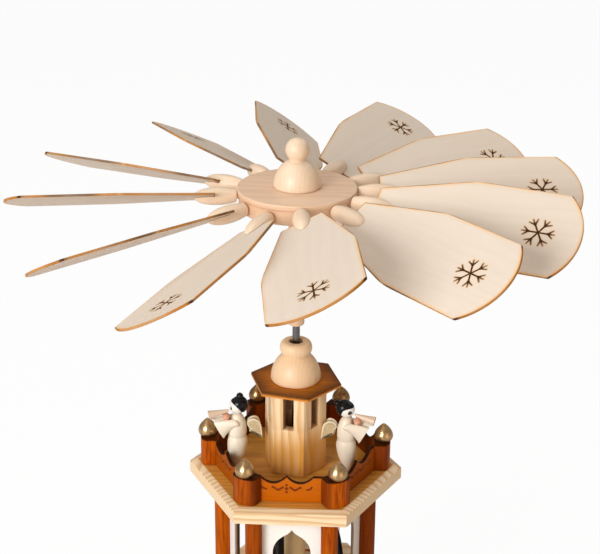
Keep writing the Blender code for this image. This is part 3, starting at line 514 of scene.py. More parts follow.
@finish_once
def turned_wood(f, axis, seed, kind="turned"):
    """Wood from the lathe, with faint growth lines along the axis (0 for X, 2 for Z), in the two
    colours that bear the name of its kind."""
    lines, fine, slow = sawn(f, axis == 2, 2.6, (30.0, -18.0), 3.0, 3.0,
                             (seed * 7.3, seed * 3.1, seed * 5.7))
    base = f.blend(lines * 0.09, kind, kind + "_line")
    base = f.blend(slow.rise(0.4, 0.75) * 0.12, base, kind + "_line")
    base = f.shade(base, 0.96 + 0.06 * fine)
    return f.surface(base, 0.36 + 0.12 * fine, fine, 0.00012, 0.35, (0.12, 0.25))


@finish_once
def disc_wood(f):
    """The hub's disc: fine straight growth lines along X, and a browner side under its rim."""
    lines, fine, slow = sawn(f, False, 1.4, (-90.0, -150.0), 5.0, 3.2)
    base = f.blend(lines * 0.27, "disc", "disc_line")
    base = f.shade(base, 0.93 + 0.1 * fine + 0.05 * slow)
    base = f.blend(f.mark("side") * 0.45, base, "disc_line")
    return f.surface(base, 0.42 + 0.12 * fine, fine - 0.4 * lines, 0.00015, 0.4)


@finish_once
def pine(f, seed):
    """Lacquered pine with clear growth lines and its grain along X."""
    lines, fine, slow = sawn(f, False, 2.7, (18.0, -46.0), 7.0, 2.2, (seed * 9.1, seed, seed))
    base = f.blend(lines * 0.55, "pine", "pine_line")
    base = f.blend(slow.rise(0.55, 0.8) * 0.3, base, "pine_line")
    base = f.shade(base, 0.92 + 0.12 * fine)
    return f.surface(base, 0.34 + 0.1 * fine, fine - 0.5 * lines, 0.00015, 0.35, (0.15, 0.2))


@finish_once
def balcony_pine(f):
    """The balcony floor: pine with its grain along X, browner inside the chamfer with painted
    shade and painted warm reflected light.
    """
    lines, fine, slow = sawn(f, False, 2.5, (8.0, -52.0), 6.0, 2.2, (3.0, 0.0, 0.0))
    base = f.blend(lines * 0.6, "pine", "pine_line")
    # painted shade and painted warm reflected light on the floor inside the chamfer
    inner = f.blend(lines * 0.5, "floor_stain", "floor_line")
    base = f.blend(f.mark("stained"), base, inner)
    base = f.shade(base, 0.92 + 0.12 * fine + 0.06 * slow)
    return f.surface(base, 0.32 + 0.12 * fine, fine - 0.5 * lines, 0.00015, 0.35, (0.1, 0.18), 0.3)


@finish_once
def tower_pine(f):
    """The tower: upright pine with a flame of wide growth lines, browner at its foot, and
    painted shade deep in its slots and bore.
    """
    x, y, z = f.own()
    bend = f.noise(x * 0.04, y * 0.04, z * 0.02)
    lines = growth(f, z * 1.2, x, y, 5.6, (30.0, -24.0), 11.0, 2.0)
    fine = fibres(f, z, x, y, 1.6, 4.0)
    base = f.blend(lines * 0.5, "tower", "tower_line")
    low = (bend * 40.0 - z).rise(-24.0, 6.0)
    base = f.blend(low * (0.75 + 0.25 * lines), base, "tower_foot")
    base = f.shade(base, 0.92 + 0.12 * fine)
    # painted shade: the slots and the bore are darkened as if no light reached them
    base = f.blend(f.mark("inside") * 0.75, base, "tower_dark")
    return f.surface(base, 0.34 + 0.12 * fine, fine - 0.4 * lines, 0.0002, 0.35, (0.08, 0.2), 0.3)


def arched_tip(s):
    """Middle and radius of the arc that closes the blade: it passes both corners and the tip."""
    bulge = s.blade_tip - s.blade_corner
    radius = (s.corner_half ** 2 + bulge ** 2) / (2 * bulge)
    return s.blade_tip - radius, radius


def inside_blade(s, x, y):
    """Distance to the blade's outline from inside it, the least of those to its root, tapers,
    sides and tip, and the distance to the sides alone."""
    slope = (s.shoulder_half - s.root_half) / s.blade_shoulder
    taper = (s.root_half / MM + x * slope - abs(y)) / sqrt(1 + slope * slope)
    straight = s.shoulder_half / MM - abs(y)
    centre, radius = arched_tip(s)
    tip = (radius / MM - distance(x - centre / MM, y)).most(s.blade_corner / MM - x)
    return taper.least(straight).least(tip).least(x), straight


def snowflake(x, y, size):
    """Distance to the strokes of a snow crystal whose arms are as long as the size: one sixth of
    it, with a stem, a prong and a ring, is folded over all round."""
    reach = distance(x, y)
    turn = abs((y.angle_to(x) / (pi / 3) + 0.5).fraction() - 0.5) * (pi / 3)
    out, side = reach * turn.cosine(), reach * turn.sine()
    knot = size * 0.6
    stem = distance_to_line(out, side, (0.0, 0.0), (size, 0.0))
    prong = distance_to_line(out, side, (knot, 0.0), (size * 0.9, size * 0.27))
    ring = distance(out - knot, side) - 0.35
    return stem.least(prong).least(ring).least(reach - 0.5), reach


@finish_once
def blade_wood(f, seed):
    """A blade: pale thin wood with faint grain along it, scorched round its outline, where the
    dark rim on the side faces is also painted shade, and with a snowflake burnt into its upper
    face."""
    x, y, z = f.own()
    s = bpy.context.scene.pyramid_wheel
    corner = s.blade_corner / MM
    rim, straight = inside_blade(s, x, y)
    patchy = f.noise(x * 0.06 + seed * 3.3, y * 0.06, 0.0)
    fine = fibres(f, x, y, z, 1.1, seed * 2.7)
    lines = growth(f, x, y, 0.0, 6.5, (seed * 9.0 - 50.0, -30.0), 16.0, seed)
    base = f.blend(lines * 0.18, "blade", "blade_line")
    base = f.shade(base, 0.965 + 0.05 * fine + 0.03 * patchy)
    ends = x.rise(corner - 26.0, corner) * straight.rise(16.0, 2.0)
    warm = rim.rise(2.8, 0.3) * (0.45 + 0.5 * patchy.rise(0.35, 0.7))
    base = f.blend(warm, base, "scorch_light")
    dark = f.noise(x * 0.022 + seed * 5.1, y * 0.03, seed, 1.0).rise(0.42, 0.58)
    dark = dark * (1 - 0.85 * x.rise(corner - 3.0, corner + 3.0)) + abs(x - corner).rise(3.0, 0.5)
    # scorch, and painted shade on the side faces, which this rim line also covers
    line = rim.rise(0.9, 0.25) * (0.6 + 0.4 * patchy + 0.3 * ends)
    scorch = f.blend(dark.least(1.0), "scorch", "scorch_dark")
    base = f.blend(line.least(1.0), base, scorch)
    size = s.flake_size / 2 / MM
    stroke, reach = snowflake(x - s.flake_place / MM, y, size)
    top = z.rise(0.3, 0.6)
    burn = stroke.rise(0.72, 0.4) * top
    fade = 1 - 0.4 * (reach / size).rise(0.7, 1.05)
    base = f.blend(stroke.rise(1.7, 0.4) * top * 0.5, base, "scorch_light")
    base = f.blend(burn * fade, base, "burnt")
    return f.surface(base, 0.5 + 0.08 * fine + burn * 0.2, fine * 0.4 - burn, 0.0002, 0.4,
                     specular=0.15)


@finish_once
def stained_wood(f, kind, seed):
    """Orange-brown stain under gloss lacquer, streaky along the grain, darkened with painted shade
    where the piece lies in shade (on the newels' sides partly scorch), and almost black where
    the piece was scorched. kind is the direction of the grain, "upright" or "flat"."""
    x, y, z = f.own()
    place = (z, x, y) if kind == "upright" else (x, y, z)
    streak, fine = streaks(f, *place, seed), fibres(f, *place, 3.5, seed)
    slow = tone(f, *place, seed)
    base = f.blend(streak.rise(0.35, 0.75), "stain", "stain_dark")
    base = f.blend(slow.rise(0.5, 0.75) * 0.5, base, "stain_bright")
    base = f.shade(base, 0.82 + 0.32 * fine)
    # painted shade: pieces that lie in shade are darkened, on the newels' sides partly standing
    # for scorch
    base = f.blend(f.mark("smoked") * 0.85, base, "smoked")
    base = f.blend(f.mark("scorched"), base, "burnt_stain")
    return f.surface(base, 0.3 + 0.1 * fine, fine, 0.0001, 0.3, (0.05, 0.1), 0.04)


@finish_once
def fence_wood(f, seed, shade_share):
    """A fence panel: orange stain, darkened with painted shade on the panels away from the front,
    a scorched top edge, and a small burnt ornament with a middle of three dots, a wave to both
    sides and a comma near each end."""
    x, y, z = f.own()
    s = bpy.context.scene.pyramid_balcony
    streak = streaks(f, x, y, z, seed, (0.05, 0.5, 0.6))
    fine = fibres(f, x, y, z, 3.0, seed)
    base = f.blend(streak.rise(0.35, 0.75) * 0.8, "stain_bright", "stain")
    # painted shade: panels away from the front are darkened as if they lay in shade
    base = f.blend(shade_share * (0.8 + 0.3 * streak), base, "smoked")
    base = f.shade(base, 0.86 + 0.26 * fine)
    side, up = abs(x + s.fence_shift / MM), z - s.ornament_height / MM
    wave = abs(up - (side * 0.85).sine()) * 0.75
    wave = wave + side.rise(9.6, 10.6) * 4.0 + side.rise(2.0, 1.2) * 4.0
    dots = distance(side, abs(up) - 2.6) - 0.25
    middle = (side + abs(up)) * 0.7 - 0.4
    comma = distance_to_line(side, up, (13.2, -0.7), (15.6, 0.1))
    tail = distance_to_line(side, up, (15.6, 0.1), (16.4, 1.5))
    stroke = wave.least(dots).least(middle).least(comma).least(tail)
    burn = stroke.rise(0.9, 0.4) * (-y).rise(0.5, 1.2)
    base = f.blend(burn * 0.85, base, "ornament")
    base = f.blend(f.mark("scorched"), base, "burnt_stain")
    return f.surface(base, 0.3 + 0.1 * fine, fine - burn, 0.00015, 0.3, (0.05, 0.1), 0.04)


@finish_once
def roof_wood(f):
    """Reddish brown stain with grain along X, dark at the edges, with a pale painted highlight
    along the lowest.
    """
    x, y, z = f.own()
    streak = streaks(f, x, y, z, 0.0, (0.04, 0.6, 0.6))
    fine = fibres(f, x, y, z, 3.0)
    base = f.blend(streak.rise(0.35, 0.7), "roof", "roof_dark")
    base = f.shade(base, 0.88 + 0.24 * fine)
    base = f.blend(f.mark("scorched") * 0.85, base, "burnt_stain")
    # painted highlight along the roof's lowest edge
    base = f.blend(f.mark("worn") * 0.35, base, "pine_line")
    return f.surface(base, 0.36 + 0.12 * fine, fine, 0.00012, 0.3, (0.07, 0.2), 0.1)


@finish_once
def painted(f, colour, roughness, seed):
    """Brushed paint on wood: hardly seen brush lumps and a soft change of tone."""
    x, y, z = f.own()
    lumps = f.noise(x * 0.6 + seed, y * 0.6, z * 0.6)
    fine = f.noise(x * 3.0, y * 3.0, z * 1.2 + seed)
    base = f.shade(colour, 0.95 + 0.08 * lumps)
    return f.surface(base, roughness + 0.08 * fine, lumps + 0.4 * fine, 0.0001, 0.25,
                     (0.15, 0.15), 0.15)


@finish_once
def lined_paint(f, colour, shade_colour):
    """Paint outside, and painted shade in a darker colour where the piece is hollow, recessed or
    faces inwards.
    """
    x, y, z = f.own()
    lumps = f.noise(x * 0.6, y * 0.6, z * 0.6)
    base = f.shade(f.blend(f.mark("inside"), colour, shade_colour), 0.95 + 0.08 * lumps)
    return f.surface(base, 0.34 + 0.08 * lumps, lumps, 0.0001, 0.25, (0.15, 0.2))


@finish_once
def doll_face(f, eye_turn, eye_wide, eye_tall):
    """A white doll's face, drawn by the degrees round the head from its eye and up from its
    middle: two dark eyes with a thin brow over each, and pink cheeks."""
    x, y, z = f.own()
    turn = abs(y).angle_to(x) * degrees(1) - eye_turn
    up = z.angle_to(distance(x, y)) * degrees(1)
    eye = distance(turn / eye_wide, (up + 4.0) / eye_tall)
    brow = abs(up - 15.0 + (turn / 11.0) ** 2.0 * 3.0) / 2.0 + abs(turn).rise(9.0, 13.0) * 4.0
    cheek = distance(turn / 20.0, (up + 26.0) / 15.0)
    lumps = f.noise(x * 0.5, y * 0.5, z * 0.5)
    base = f.shade("face", 0.97 + 0.05 * lumps)
    base = f.blend(cheek.rise(1.0, 0.2) * 0.35, base, "cheek")
    base = f.blend(eye.rise(1.1, 0.85), base, "hair")
    base = f.blend(brow.rise(1.0, 0.5) * 0.7, base, "hair")
    return f.surface(base, 0.26 + 0.06 * lumps, lumps, 0.00008, 0.2, (0.3, 0.1))


@finish_once
def glitter_wing(f):
    """A wing: pale border and a bed of gold glitter grains, each turned its own way."""
    random, out = f.cells(*(way * 4.2 for way in f.own()))
    bed = f.mark("rim").rise(0.6, 1.1)
    base = f.blend(bed, "wing_rim", f.blend(random, "wing", "wing_dark"))
    return f.surface(base, 0.45 - 0.12 * bed * random, bed * random - 0.3 * out * bed, 0.00018,
                     0.8, metallic=bed * random.rise(0.55, 0.8) * 0.6)


@finish_once
def gilded(f, worn):
    """Antique gold, browner in worn patches and at the foot, which is partly patina and partly a
    painted dark reflection; the number given darkens it all over with painted shade.
    """
    x, y, z = f.own()
    smudge = f.noise(x * 0.3, y * 0.3, z * 0.4, 3.0)
    base = f.blend((smudge.rise(0.45, 0.75) * 0.5 + worn).least(1.0), "gold", "gold_dark")
    # the foot: partly patina, partly a painted dark reflection of the surroundings
    base = f.blend(f.mark("foot") * 0.8, base, "gold_dark")
    return f.surface(base, 0.22 + 0.14 * smudge, smudge, 0.00008, 0.3, metallic=0.9)


@finish_once
def polished(f, colour, roughness):
    """Polished metal with fine turning marks."""
    x, y, z = f.own()
    marks = f.noise(x * 0.3, y * 0.3, z * 9.0)
    smudge = f.noise(x * 0.5, y * 0.5, z * 0.5)
    base = f.shade(colour, 0.95 + 0.08 * smudge)
    return f.surface(base, roughness + 0.08 * smudge + 0.04 * marks, marks, 0.00003, 0.2,
                     metallic=1.0)


# What a user may change

def length(name, description, default):
    """A size in metres."""
    return FloatProperty(name=name, description=description, default=default, precision=5,
                         unit="LENGTH", subtype="DISTANCE")


def turning(name, description, default):
    """An angle in degrees."""
    return FloatProperty(name=name, description=description, default=default, precision=2)


def number(name, description, default):
    """A share or a power."""
    return FloatProperty(name=name, description=description, default=default, precision=3)


def colour(name, description, *default):
    """A colour."""
    return FloatVectorProperty(name=name, description=description, default=default, size=3,
                               min=0.0, max=1.0, subtype="COLOR")


def place(name, description, *default):
    """A place in metres."""
    return FloatVectorProperty(name=name, description=description, default=default, precision=5,
                               unit="LENGTH", subtype="TRANSLATION")


class PyramidColours(bpy.types.PropertyGroup):
    """Colours of the finishes."""

    turned: colour("Turned wood", "Pegs, knob, dome and cups", 0.86, 0.665, 0.485)
    turned_line: colour("Turned wood line", "Growth lines in turned wood", 0.66, 0.40, 0.20)
    dome: colour("Dome", "The dome and its collar", 0.90, 0.64, 0.40)
    dome_line: colour("Dome line", "Growth lines in the dome", 0.66, 0.36, 0.14)
    # Painted warm light: brighter and more orange than the turned wood, standing in for warm light
    # bounced round inside the colonnade
    axle: colour("Axle wood", "The wooden axle behind the arches", 1.0, 0.7, 0.34)
    axle_line: colour("Axle line", "Growth lines in the axle", 0.7, 0.36, 0.12)
    disc: colour("Hub disc", "The hub's disc", 0.8, 0.56, 0.39)
    disc_line: colour("Hub disc line", "Growth lines in the disc", 0.6, 0.34, 0.18)
    pine: colour("Pine", "Lacquered pine between its growth lines", 0.9, 0.7, 0.45)
    pine_line: colour("Pine line", "Growth lines in pine", 0.60, 0.31, 0.10)
    floor_stain: colour("Floor shade", "Painted shade on the balcony's top", 0.68, 0.33, 0.06)
    floor_line: colour("Floor shade line", "Growth lines in the shaded top", 0.46, 0.18, 0.025)
    tower: colour("Tower", "The tower's pine", 0.95, 0.72, 0.44)
    tower_line: colour("Tower line", "Growth lines in the tower", 0.6, 0.25, 0.045)
    tower_foot: colour("Tower foot", "Browner wood at the tower's foot", 0.74, 0.335, 0.05)
    tower_dark: colour("Tower slot shade", "Painted shade in the tower's slots and bore", 0.20, 0.07, 0.015)
    blade: colour("Blade", "Blades' thin wood", 0.755, 0.65, 0.545)
    blade_line: colour("Blade line", "Grain of the blades", 0.7, 0.57, 0.43)
    scorch_light: colour("Scorch glow", "Light scorching", 0.84, 0.5, 0.2)
    scorch: colour("Scorch", "Scorched edges of the blades", 0.46, 0.18, 0.03)
    scorch_dark: colour("Dark scorch", "Darkest stretches of the edges", 0.07, 0.022, 0.006)
    burnt: colour("Burnt line", "Lines burnt into the blades", 0.055, 0.018, 0.005)
    stain: colour("Stain", "Orange-brown stain", 0.56, 0.108, 0.001)
    stain_dark: colour("Dark stain", "Darker streaks of the stain", 0.24, 0.038, 0.001)
    stain_bright: colour("Bright stain", "Brighter stain of the fence", 0.57, 0.137, 0.003)
    burnt_stain: colour("Scorched stain", "Scorched edges of stained wood", 0.030, 0.009, 0.003)
    # Painted shade that darkens stained pieces lying in shade; on the newels' sides also scorch
    smoked: colour("Painted shade and scorch", "Painted shade on newels, columns and panels, scorch on newel sides", 0.13, 0.02, 0.002)
    ornament: colour("Ornament", "Lines burnt into the fence", 0.13, 0.022, 0.005)
    roof: colour("Roof", "Reddish brown of the roof", 0.93, 0.3, 0.014)
    roof_dark: colour("Dark roof", "Darker streaks of the roof", 0.66, 0.185, 0.007)
    panel: colour("Arch panel", "White paint of the arches", 0.93, 0.92, 0.87)
    panel_back: colour("Panel back shade", "Painted shade on the arches' backs and reveals", 0.22, 0.09, 0.025)
    gold: colour("Gold", "Gold of the finials", 0.72, 0.5, 0.26)
    gold_dark: colour("Dark gold", "Worn and lower parts of the finials", 0.26, 0.12, 0.04)
    steel: colour("Steel", "Rod and bush", 0.17, 0.165, 0.17)
    brass: colour("Brass", "Bearing cup", 0.80, 0.60, 0.28)
    robe: colour("Robe", "The angels' ivory robes", 0.88, 0.79, 0.64)
    robe_lining: colour("Robe shade", "Painted shade inside the sleeves and at the chest", 0.30, 0.10, 0.06)
    hands: colour("Hands", "The angels' hands", 0.72, 0.38, 0.25)
    face: colour("Face", "White faces", 0.90, 0.87, 0.82)
    cheek: colour("Cheek", "Pink of the cheeks", 0.85, 0.48, 0.42)
    hair: colour("Hair", "Black hair", 0.008, 0.008, 0.010)
    horn: colour("Trumpet", "Pale trumpets", 0.74, 0.56, 0.41)
    horn_lining: colour("Trumpet bell shade", "Painted shade inside the trumpets' bells", 0.50, 0.28, 0.19)
    wing: colour("Glitter", "Bright grains of the wings", 0.84, 0.71, 0.45)
    wing_dark: colour("Dark glitter", "Darker grains of the wings", 0.55, 0.40, 0.20)
    wing_rim: colour("Wing border", "Pale border of the wings", 0.86, 0.76, 0.58)
    cape: colour("Cape", "Black capes of the turning figures", 0.010, 0.008, 0.008)


class PyramidWheel(bpy.types.PropertyGroup):
    """Sizes of the wheel, its pegs and its knob."""

    blade_root: length("Blade root", "Distance of the blade's inner end from the axis", 0.0533)
    blade_shoulder: length("Shoulder", "Where the blade stops widening, from its root", 0.0594)
    blade_corner: length("Corner", "Where the arched tip starts, from the root", 0.1187)
    blade_tip: length("Tip", "Length of the blade from its root", 0.1312)
    root_half: length("Root half width", "Half width of the blade at its root", 0.014)
    shoulder_half: length("Shoulder half width", "Half width at the shoulder", 0.0298)
    corner_half: length("Corner half width", "Half width at the corners", 0.0293)
    blade_edge: length("Blade edge", "Rounding of the blade's edges", 0.0003)
    blade_thick: length("Blade thickness", "Thickness of the blade", 0.0015)
    flake_place: length("Snowflake place", "Middle of the snowflake from the root", 0.1050)
    flake_size: length("Snowflake size", "Width of the snowflake", 0.0196)
    peg_start: length("Peg start", "The peg's shoulder from the axis", 0.0391)
    peg_length: length("Peg length", "Length of the turned peg", 0.0274)
    peg_radius: length("Peg radius", "Largest radius of the peg", 0.0058)
    peg_root: length("Peg root", "Radius at the peg's shoulder", 0.0042)
    peg_swell: number("Peg swell", "Share of its length where the peg is thickest", 0.42)
    peg_slot: length("Peg slot", "Half width of the slot in the peg", 0.00105)
    spigot_radius: length("Spigot radius", "Radius of the spigot in the hub", 0.0021)
    spigot_length: length("Spigot length", "Length of the spigot in the hub", 0.0101)
    hub_thick: length("Hub thickness", "Height of the hub's disc", 0.0133)
    hub_rim: length("Hub rim", "Height of the hub's wider top rim", 0.0033)
    hub_inset: length("Hub inset", "How far the side stands in below the rim", 0.001)
    hub_edge: length("Hub edge", "Rounding of the hub's rim", 0.0007)
    neck_radius: length("Neck radius", "Radius of the hub's long neck", 0.00545)
    neck_flare: length("Neck flare", "Radius of the neck at the disc", 0.011)
    neck_bore: length("Neck bore", "Radius of the rod's hole", 0.0029)
    rod_gap: length("Rod gap", "Space above the rod in the hub", 0.0003)
    knob_neck: length("Knob neck", "Radius between the knob's bell and ball", 0.0055)
    knob_crown: length("Knob crown", "Height that the bell's ellipse would reach", 0.0186)
    knob_ball: length("Knob ball", "Radius of the knob's ball", 0.0078)
    knob_waist: length("Knob waist", "Height of the neck between bell and ball", 0.0015)


class PyramidBalcony(bpy.types.PropertyGroup):
    """Sizes of the tower, the roof, the dome and the balcony."""

    dome_radius: length("Dome radius", "Radius of the dome at its foot", 0.0170)
    dome_crown: length("Dome crown", "Height that the dome's ellipse would reach", 0.0206)
    dome_waist: length("Dome waist", "Radius between dome and collar", 0.0090)
    collar_radius: length("Collar radius", "Radius of the collar", 0.01085)
    collar_height: length("Collar height", "Height of the collar", 0.00976)
    dome_bore: length("Dome bore", "Radius of the hole for the rod", 0.0034)
    bush_seat: length("Bush seat", "Radius of the bush's seat", 0.0048)
    bush_recess: length("Bush recess", "Depth of the bush's seat", 0.0064)
    tower_turn: turning("Tower turn", "Degrees that the tower is turned", -12.3)
    tower_corner: length("Tower corner", "Corner radius of the tower", 0.0215)
    tower_bore: length("Tower bore", "Radius of the tower's bore", 0.0125)
    slot_width: length("Slot width", "Width of the tower's slots", 0.0073)
    slot_sill: length("Slot sill", "Height of the slots' foot above the floor", 0.0342)
    tower_edge: length("Tower edge", "Rounding of the tower's corners", 0.0006)
    roof_bore: length("Roof bore", "Radius of the hole in the roof", 0.0045)
    roof_corner: length("Roof corner", "Corner radius of the roof", 0.0315)
    plate_apothem: length("Plate apothem", "Middle of the plate to its flat sides", 0.0632)
    plate_bore: length("Plate bore", "Radius of the hole for the axle", 0.0079)
    chamfer_width: length("Chamfer width", "Width of the plate's sloping edge", 0.0046)
    chamfer_drop: length("Chamfer drop", "Fall of the plate's sloping edge", 0.0014)
    fence_middle: length("Fence middle", "Middle of the fence's wall from the axis", 0.0498)
    fence_wall: length("Fence wall", "Thickness of the fence", 0.0024)
    fence_height: length("Fence height", "Height of the fence at the newels", 0.0186)
    fence_dip: length("Fence dip", "Depth of each scallop", 0.0049)
    fence_peak: length("Fence peak", "Height of the pointed middle", 0.0188)
    fence_scallop: length("Fence scallop", "Width of one scallop", 0.0173)
    fence_shift: length("Fence shift", "Pointed middle left of the panel's middle", 0.003)
    ornament_height: length("Ornament height", "Height of the ornament's middle", 0.0098)
    newel_ring: length("Newel ring", "Newels' middles from the axis", 0.0602)
    newel_width: length("Newel width", "Width of a newel", 0.0176)
    newel_inner: length("Newel back", "Flat back inside the middle", 0.0070)
    newel_outer: length("Newel front", "Round front outside the middle", 0.0048)
    newel_height: length("Newel height", "Height of a newel", 0.019)


class PyramidFigures(bpy.types.PropertyGroup):
    """Sizes of the angels and the turning figures."""

    left_turn: turning("Left angel turn", "Degrees round the tower", -168.1)
    left_ring: length("Left angel ring", "Distance of its robe's point from the axis", 0.0414)
    left_bun: turning("Left bun", "Degrees of its bun back from upright", 14.0)
    left_hair: turning("Left hair", "How far its hair reaches at the sides, in degrees", 88.0)
    left_fringe: turning("Left fringe", "How far its hair reaches in front", 98.0)
    left_eye: turning("Left eye", "Degrees from the front to its eye", 34.0)
    right_turn: turning("Right angel turn", "Degrees round the tower", -14.3)
    right_ring: length("Right angel ring", "Distance of its robe's point from the axis", 0.0374)
    right_bun: turning("Right bun", "Degrees of its bun back from upright", 62.0)
    right_hair: turning("Right hair", "How far its hair reaches at the sides, in degrees", 76.0)
    right_fringe: turning("Right fringe", "How far its hair reaches in front", 114.0)
    right_eye: turning("Right eye", "Degrees from the front to its eye", 50.0)
    skirt_height: length("Skirt height", "Height of the tulip skirt", 0.0235)
    skirt_radius: length("Skirt radius", "Largest radius of the skirt", 0.0068)
    jacket_height: length("Jacket height", "Height of the jacket", 0.0170)
    jacket_radius: length("Jacket radius", "Largest radius of the jacket", 0.0062)
    lean: length("Lean", "How far the body lies behind its point", 0.0016)
    head: length("Head", "Radius of the head", 0.0058)
    hair: length("Hair", "Radius of the hair, a ball behind the face", 0.0059)
    hair_back: length("Hair back", "Middle of that ball behind the head's", 0.0015)
    hair_up: length("Hair up", "Middle of that ball above the head's", 0.0007)
    bun: length("Bun", "Radius of the bun", 0.0024)
    cuff_half: length("Cuff", "Half the long way of the open cuff", 0.0070)
    cuff_side: length("Cuff side", "Half the short way of the cuff", 0.0021)
    trumpet_length: length("Trumpet length", "Length of the trumpet", 0.0142)
    trumpet_bell: length("Trumpet bell", "Radius of the trumpet's bell", 0.0033)
    trumpet_mouth: length("Trumpet mouth", "Radius of the mouthpiece", 0.0009)
    trumpet_drop: turning("Trumpet drop", "Degrees below level", 12.0)
    mouth_drop: turning("Mouth drop", "Degrees from the head's middle to the mouth", 30.0)
    wing_thick: length("Wing thickness", "Thickness of a wing", 0.0012)
    wing_open: turning("Wing opening", "Degrees that each wing opens", 16.0)
    wing_tilt: turning("Wing tilt", "Degrees that a wing leans forward", 13.0)
    figures: IntProperty(name="Turning figures", description="Figures on the turntable",
                         default=3, min=1)
    figure_first: turning("First figure", "Degrees of the first figure", -125.0)
    figure_ring: length("Figure ring", "Figures' middles from the axis", 0.0275)
    figure_radius: length("Cape radius", "Radius of a cape's foot", 0.0082)
    figure_cape: length("Cape height", "Height of a cape", 0.046)
    figure_head: length("Figure head", "Radius of a figure's head", 0.0043)
    figure_neck: length("Figure neck", "Radius of a figure's neck", 0.0022)


class PyramidStand(bpy.types.PropertyGroup):
    """Sizes of the colonnade, the drum and the base."""

    column_radius: length("Column radius", "Radius of a column", 0.0057)
    column_ring: length("Column ring", "Columns' middles from the axis", 0.0505)
    rail_height: length("Rail height", "Height of the rails that join the columns", 0.003)
    rail_width: length("Rail width", "Width of those rails", 0.0075)
    screen_apothem: length("Screen apothem", "Outer faces of the arch panels", 0.0407)
    screen_wall: length("Screen wall", "Thickness of the arch panels", 0.0025)
    arch_half: length("Arch half width", "Half width of an arch", 0.0127)
    arch_sill: length("Arch sill", "Height of an arch's sill", 0.005)
    arch_spring: length("Arch spring", "Height of its straight sides", 0.0595)
    arch_rise: length("Arch rise", "Height of its round part", 0.014)
    arch_point: length("Arch point", "Height of the pointed crown", 0.004)
    drum_corner: length("Drum corner", "Corner radius of the drum", 0.068)
    plinth_corner: length("Plinth corner", "Corner radius of the drum's foot", 0.080)
    cornice_corner: length("Cornice corner", "Corner radius of the drum's top", 0.074)
    base_corner: length("Base corner", "Corner radius of the base", 0.140)
    base_height: length("Base height", "Height of the base", 0.014)
    plinth_height: length("Plinth height", "Height of the drum's foot", 0.008)
    cornice_height: length("Cornice height", "Height of the drum's top", 0.008)
    niche_half: length("Niche half width", "Half width of the blind arches", 0.019)
    niche_depth: length("Niche depth", "Depth of the blind arches", 0.0025)
    niche_sill: length("Niche sill", "Height of their sills", 0.007)
    niche_spring: length("Niche spring", "Height of their straight sides", 0.024)
    niche_rise: length("Niche rise", "Height of their round part", 0.019)
    pocket_radius: length("Pocket radius", "Radius of the bearing's pocket", 0.0063)
    pocket_depth: length("Pocket depth", "Depth of the bearing's pocket", 0.007)
    cup_radius: length("Cup radius", "Radius of a candle cup's rim", 0.012)
    cup_waist: length("Cup waist", "Radius of its stem", 0.0062)
    cup_foot: length("Cup foot", "Radius of its foot", 0.0105)
    socket_radius: length("Socket radius", "Radius of the candle's socket", 0.0073)
    socket_depth: length("Socket depth", "Depth of the candle's socket", 0.013)


class PyramidStage(bpy.types.PropertyGroup):
    """Camera, lamps and floor."""

    eye: place("Eye", "Camera's place, its height from the balcony", 0.03925, -0.79391, 0.4695)
    gaze: FloatVectorProperty(name="Gaze", description="Camera's turns in degrees",
                              default=(71.058, -0.3833, 2.9615), precision=4)
    lens: number("Lens", "Focal length in millimetres", 78.7)
    shift_x: number("Shift right", "Camera's sideways shift", 0.0047)
    shift_y: number("Shift up", "Camera's upward shift", -0.1418)
    key: number("Key lamp", "Power of the large lamp in front on the left", 27.0)
    key_place: place("Key place", "Where the key lamp hangs", -0.9, -1.5, 0.9)
    fill: number("Fill lamp", "Power of the weaker warm lamp in front on the right", 3.5)
    fill_place: place("Fill place", "Where the fill lamp hangs", 1.2, -1.3, 0.5)
    top: number("Top lamp", "Power of the lamp overhead", 9.5)
    top_place: place("Top place", "Where the top lamp hangs", -0.5, 0.1, 1.82)
    back: number("Back lamp", "Power of the lamp behind on the right", 4.6)
    back_place: place("Back place", "Where the back lamp hangs", 0.9, 1.1, 1.5)
    sky: number("Sky", "Strength of the light from all round", 0.3)
    sky_tint: colour("Sky tint", "Colour of the light from all round", 1.0, 0.93, 0.85)
    fill_tint: colour("Fill tint", "Warm colour of the fill lamp", 1.0, 0.69, 0.36)
    floor: colour("Floor", "Colour of the floor for the light it throws back", 0.8, 0.79, 0.79)
    floor_seen: colour("Floor seen", "Colour of the floor for the camera", 0.95, 0.95, 0.95)
    floor_white: number("Floor white", "Share of plain white in what the camera sees", 0.95)


# Pieces of the wheel

def blade_outline(s):
    """Blade in plan along X: narrow root, straight tapers, straight sides and an arched tip."""
    centre, radius = arched_tip(s)
    end = asin(s.corner_half / radius)
    tip = arc((centre, 0), radius, -end, end, 41)
    low = rounded([(0.02, 0.0), (0, 0), (0, -s.root_half), (s.blade_shoulder, -s.shoulder_half),
                   tip[0], tip[1]], (SHARP, 0.001, 0.008, 0.0008), 6)[2:-1]
    return np.vstack([low, tip[1:-1], (low * (1, -1))[::-1]])


def build_blades(s):
    """The blade's outline, carried up the rows of a thin board with rounded edges."""
    outline = blade_outline(s)
    rows = board_rows(-s.blade_thick / 2, s.blade_thick / 2, s.blade_edge)
    for k in range(1, BLADES + 1):
        place = blade_stand(k) @ shifted(s.blade_root)
        blade = Piece(f"wheel_blade_{k}", f"blade_{k}", f"blade_{k}")
        blade.add(carried(outline, rows), place).build(blade_wood(k))


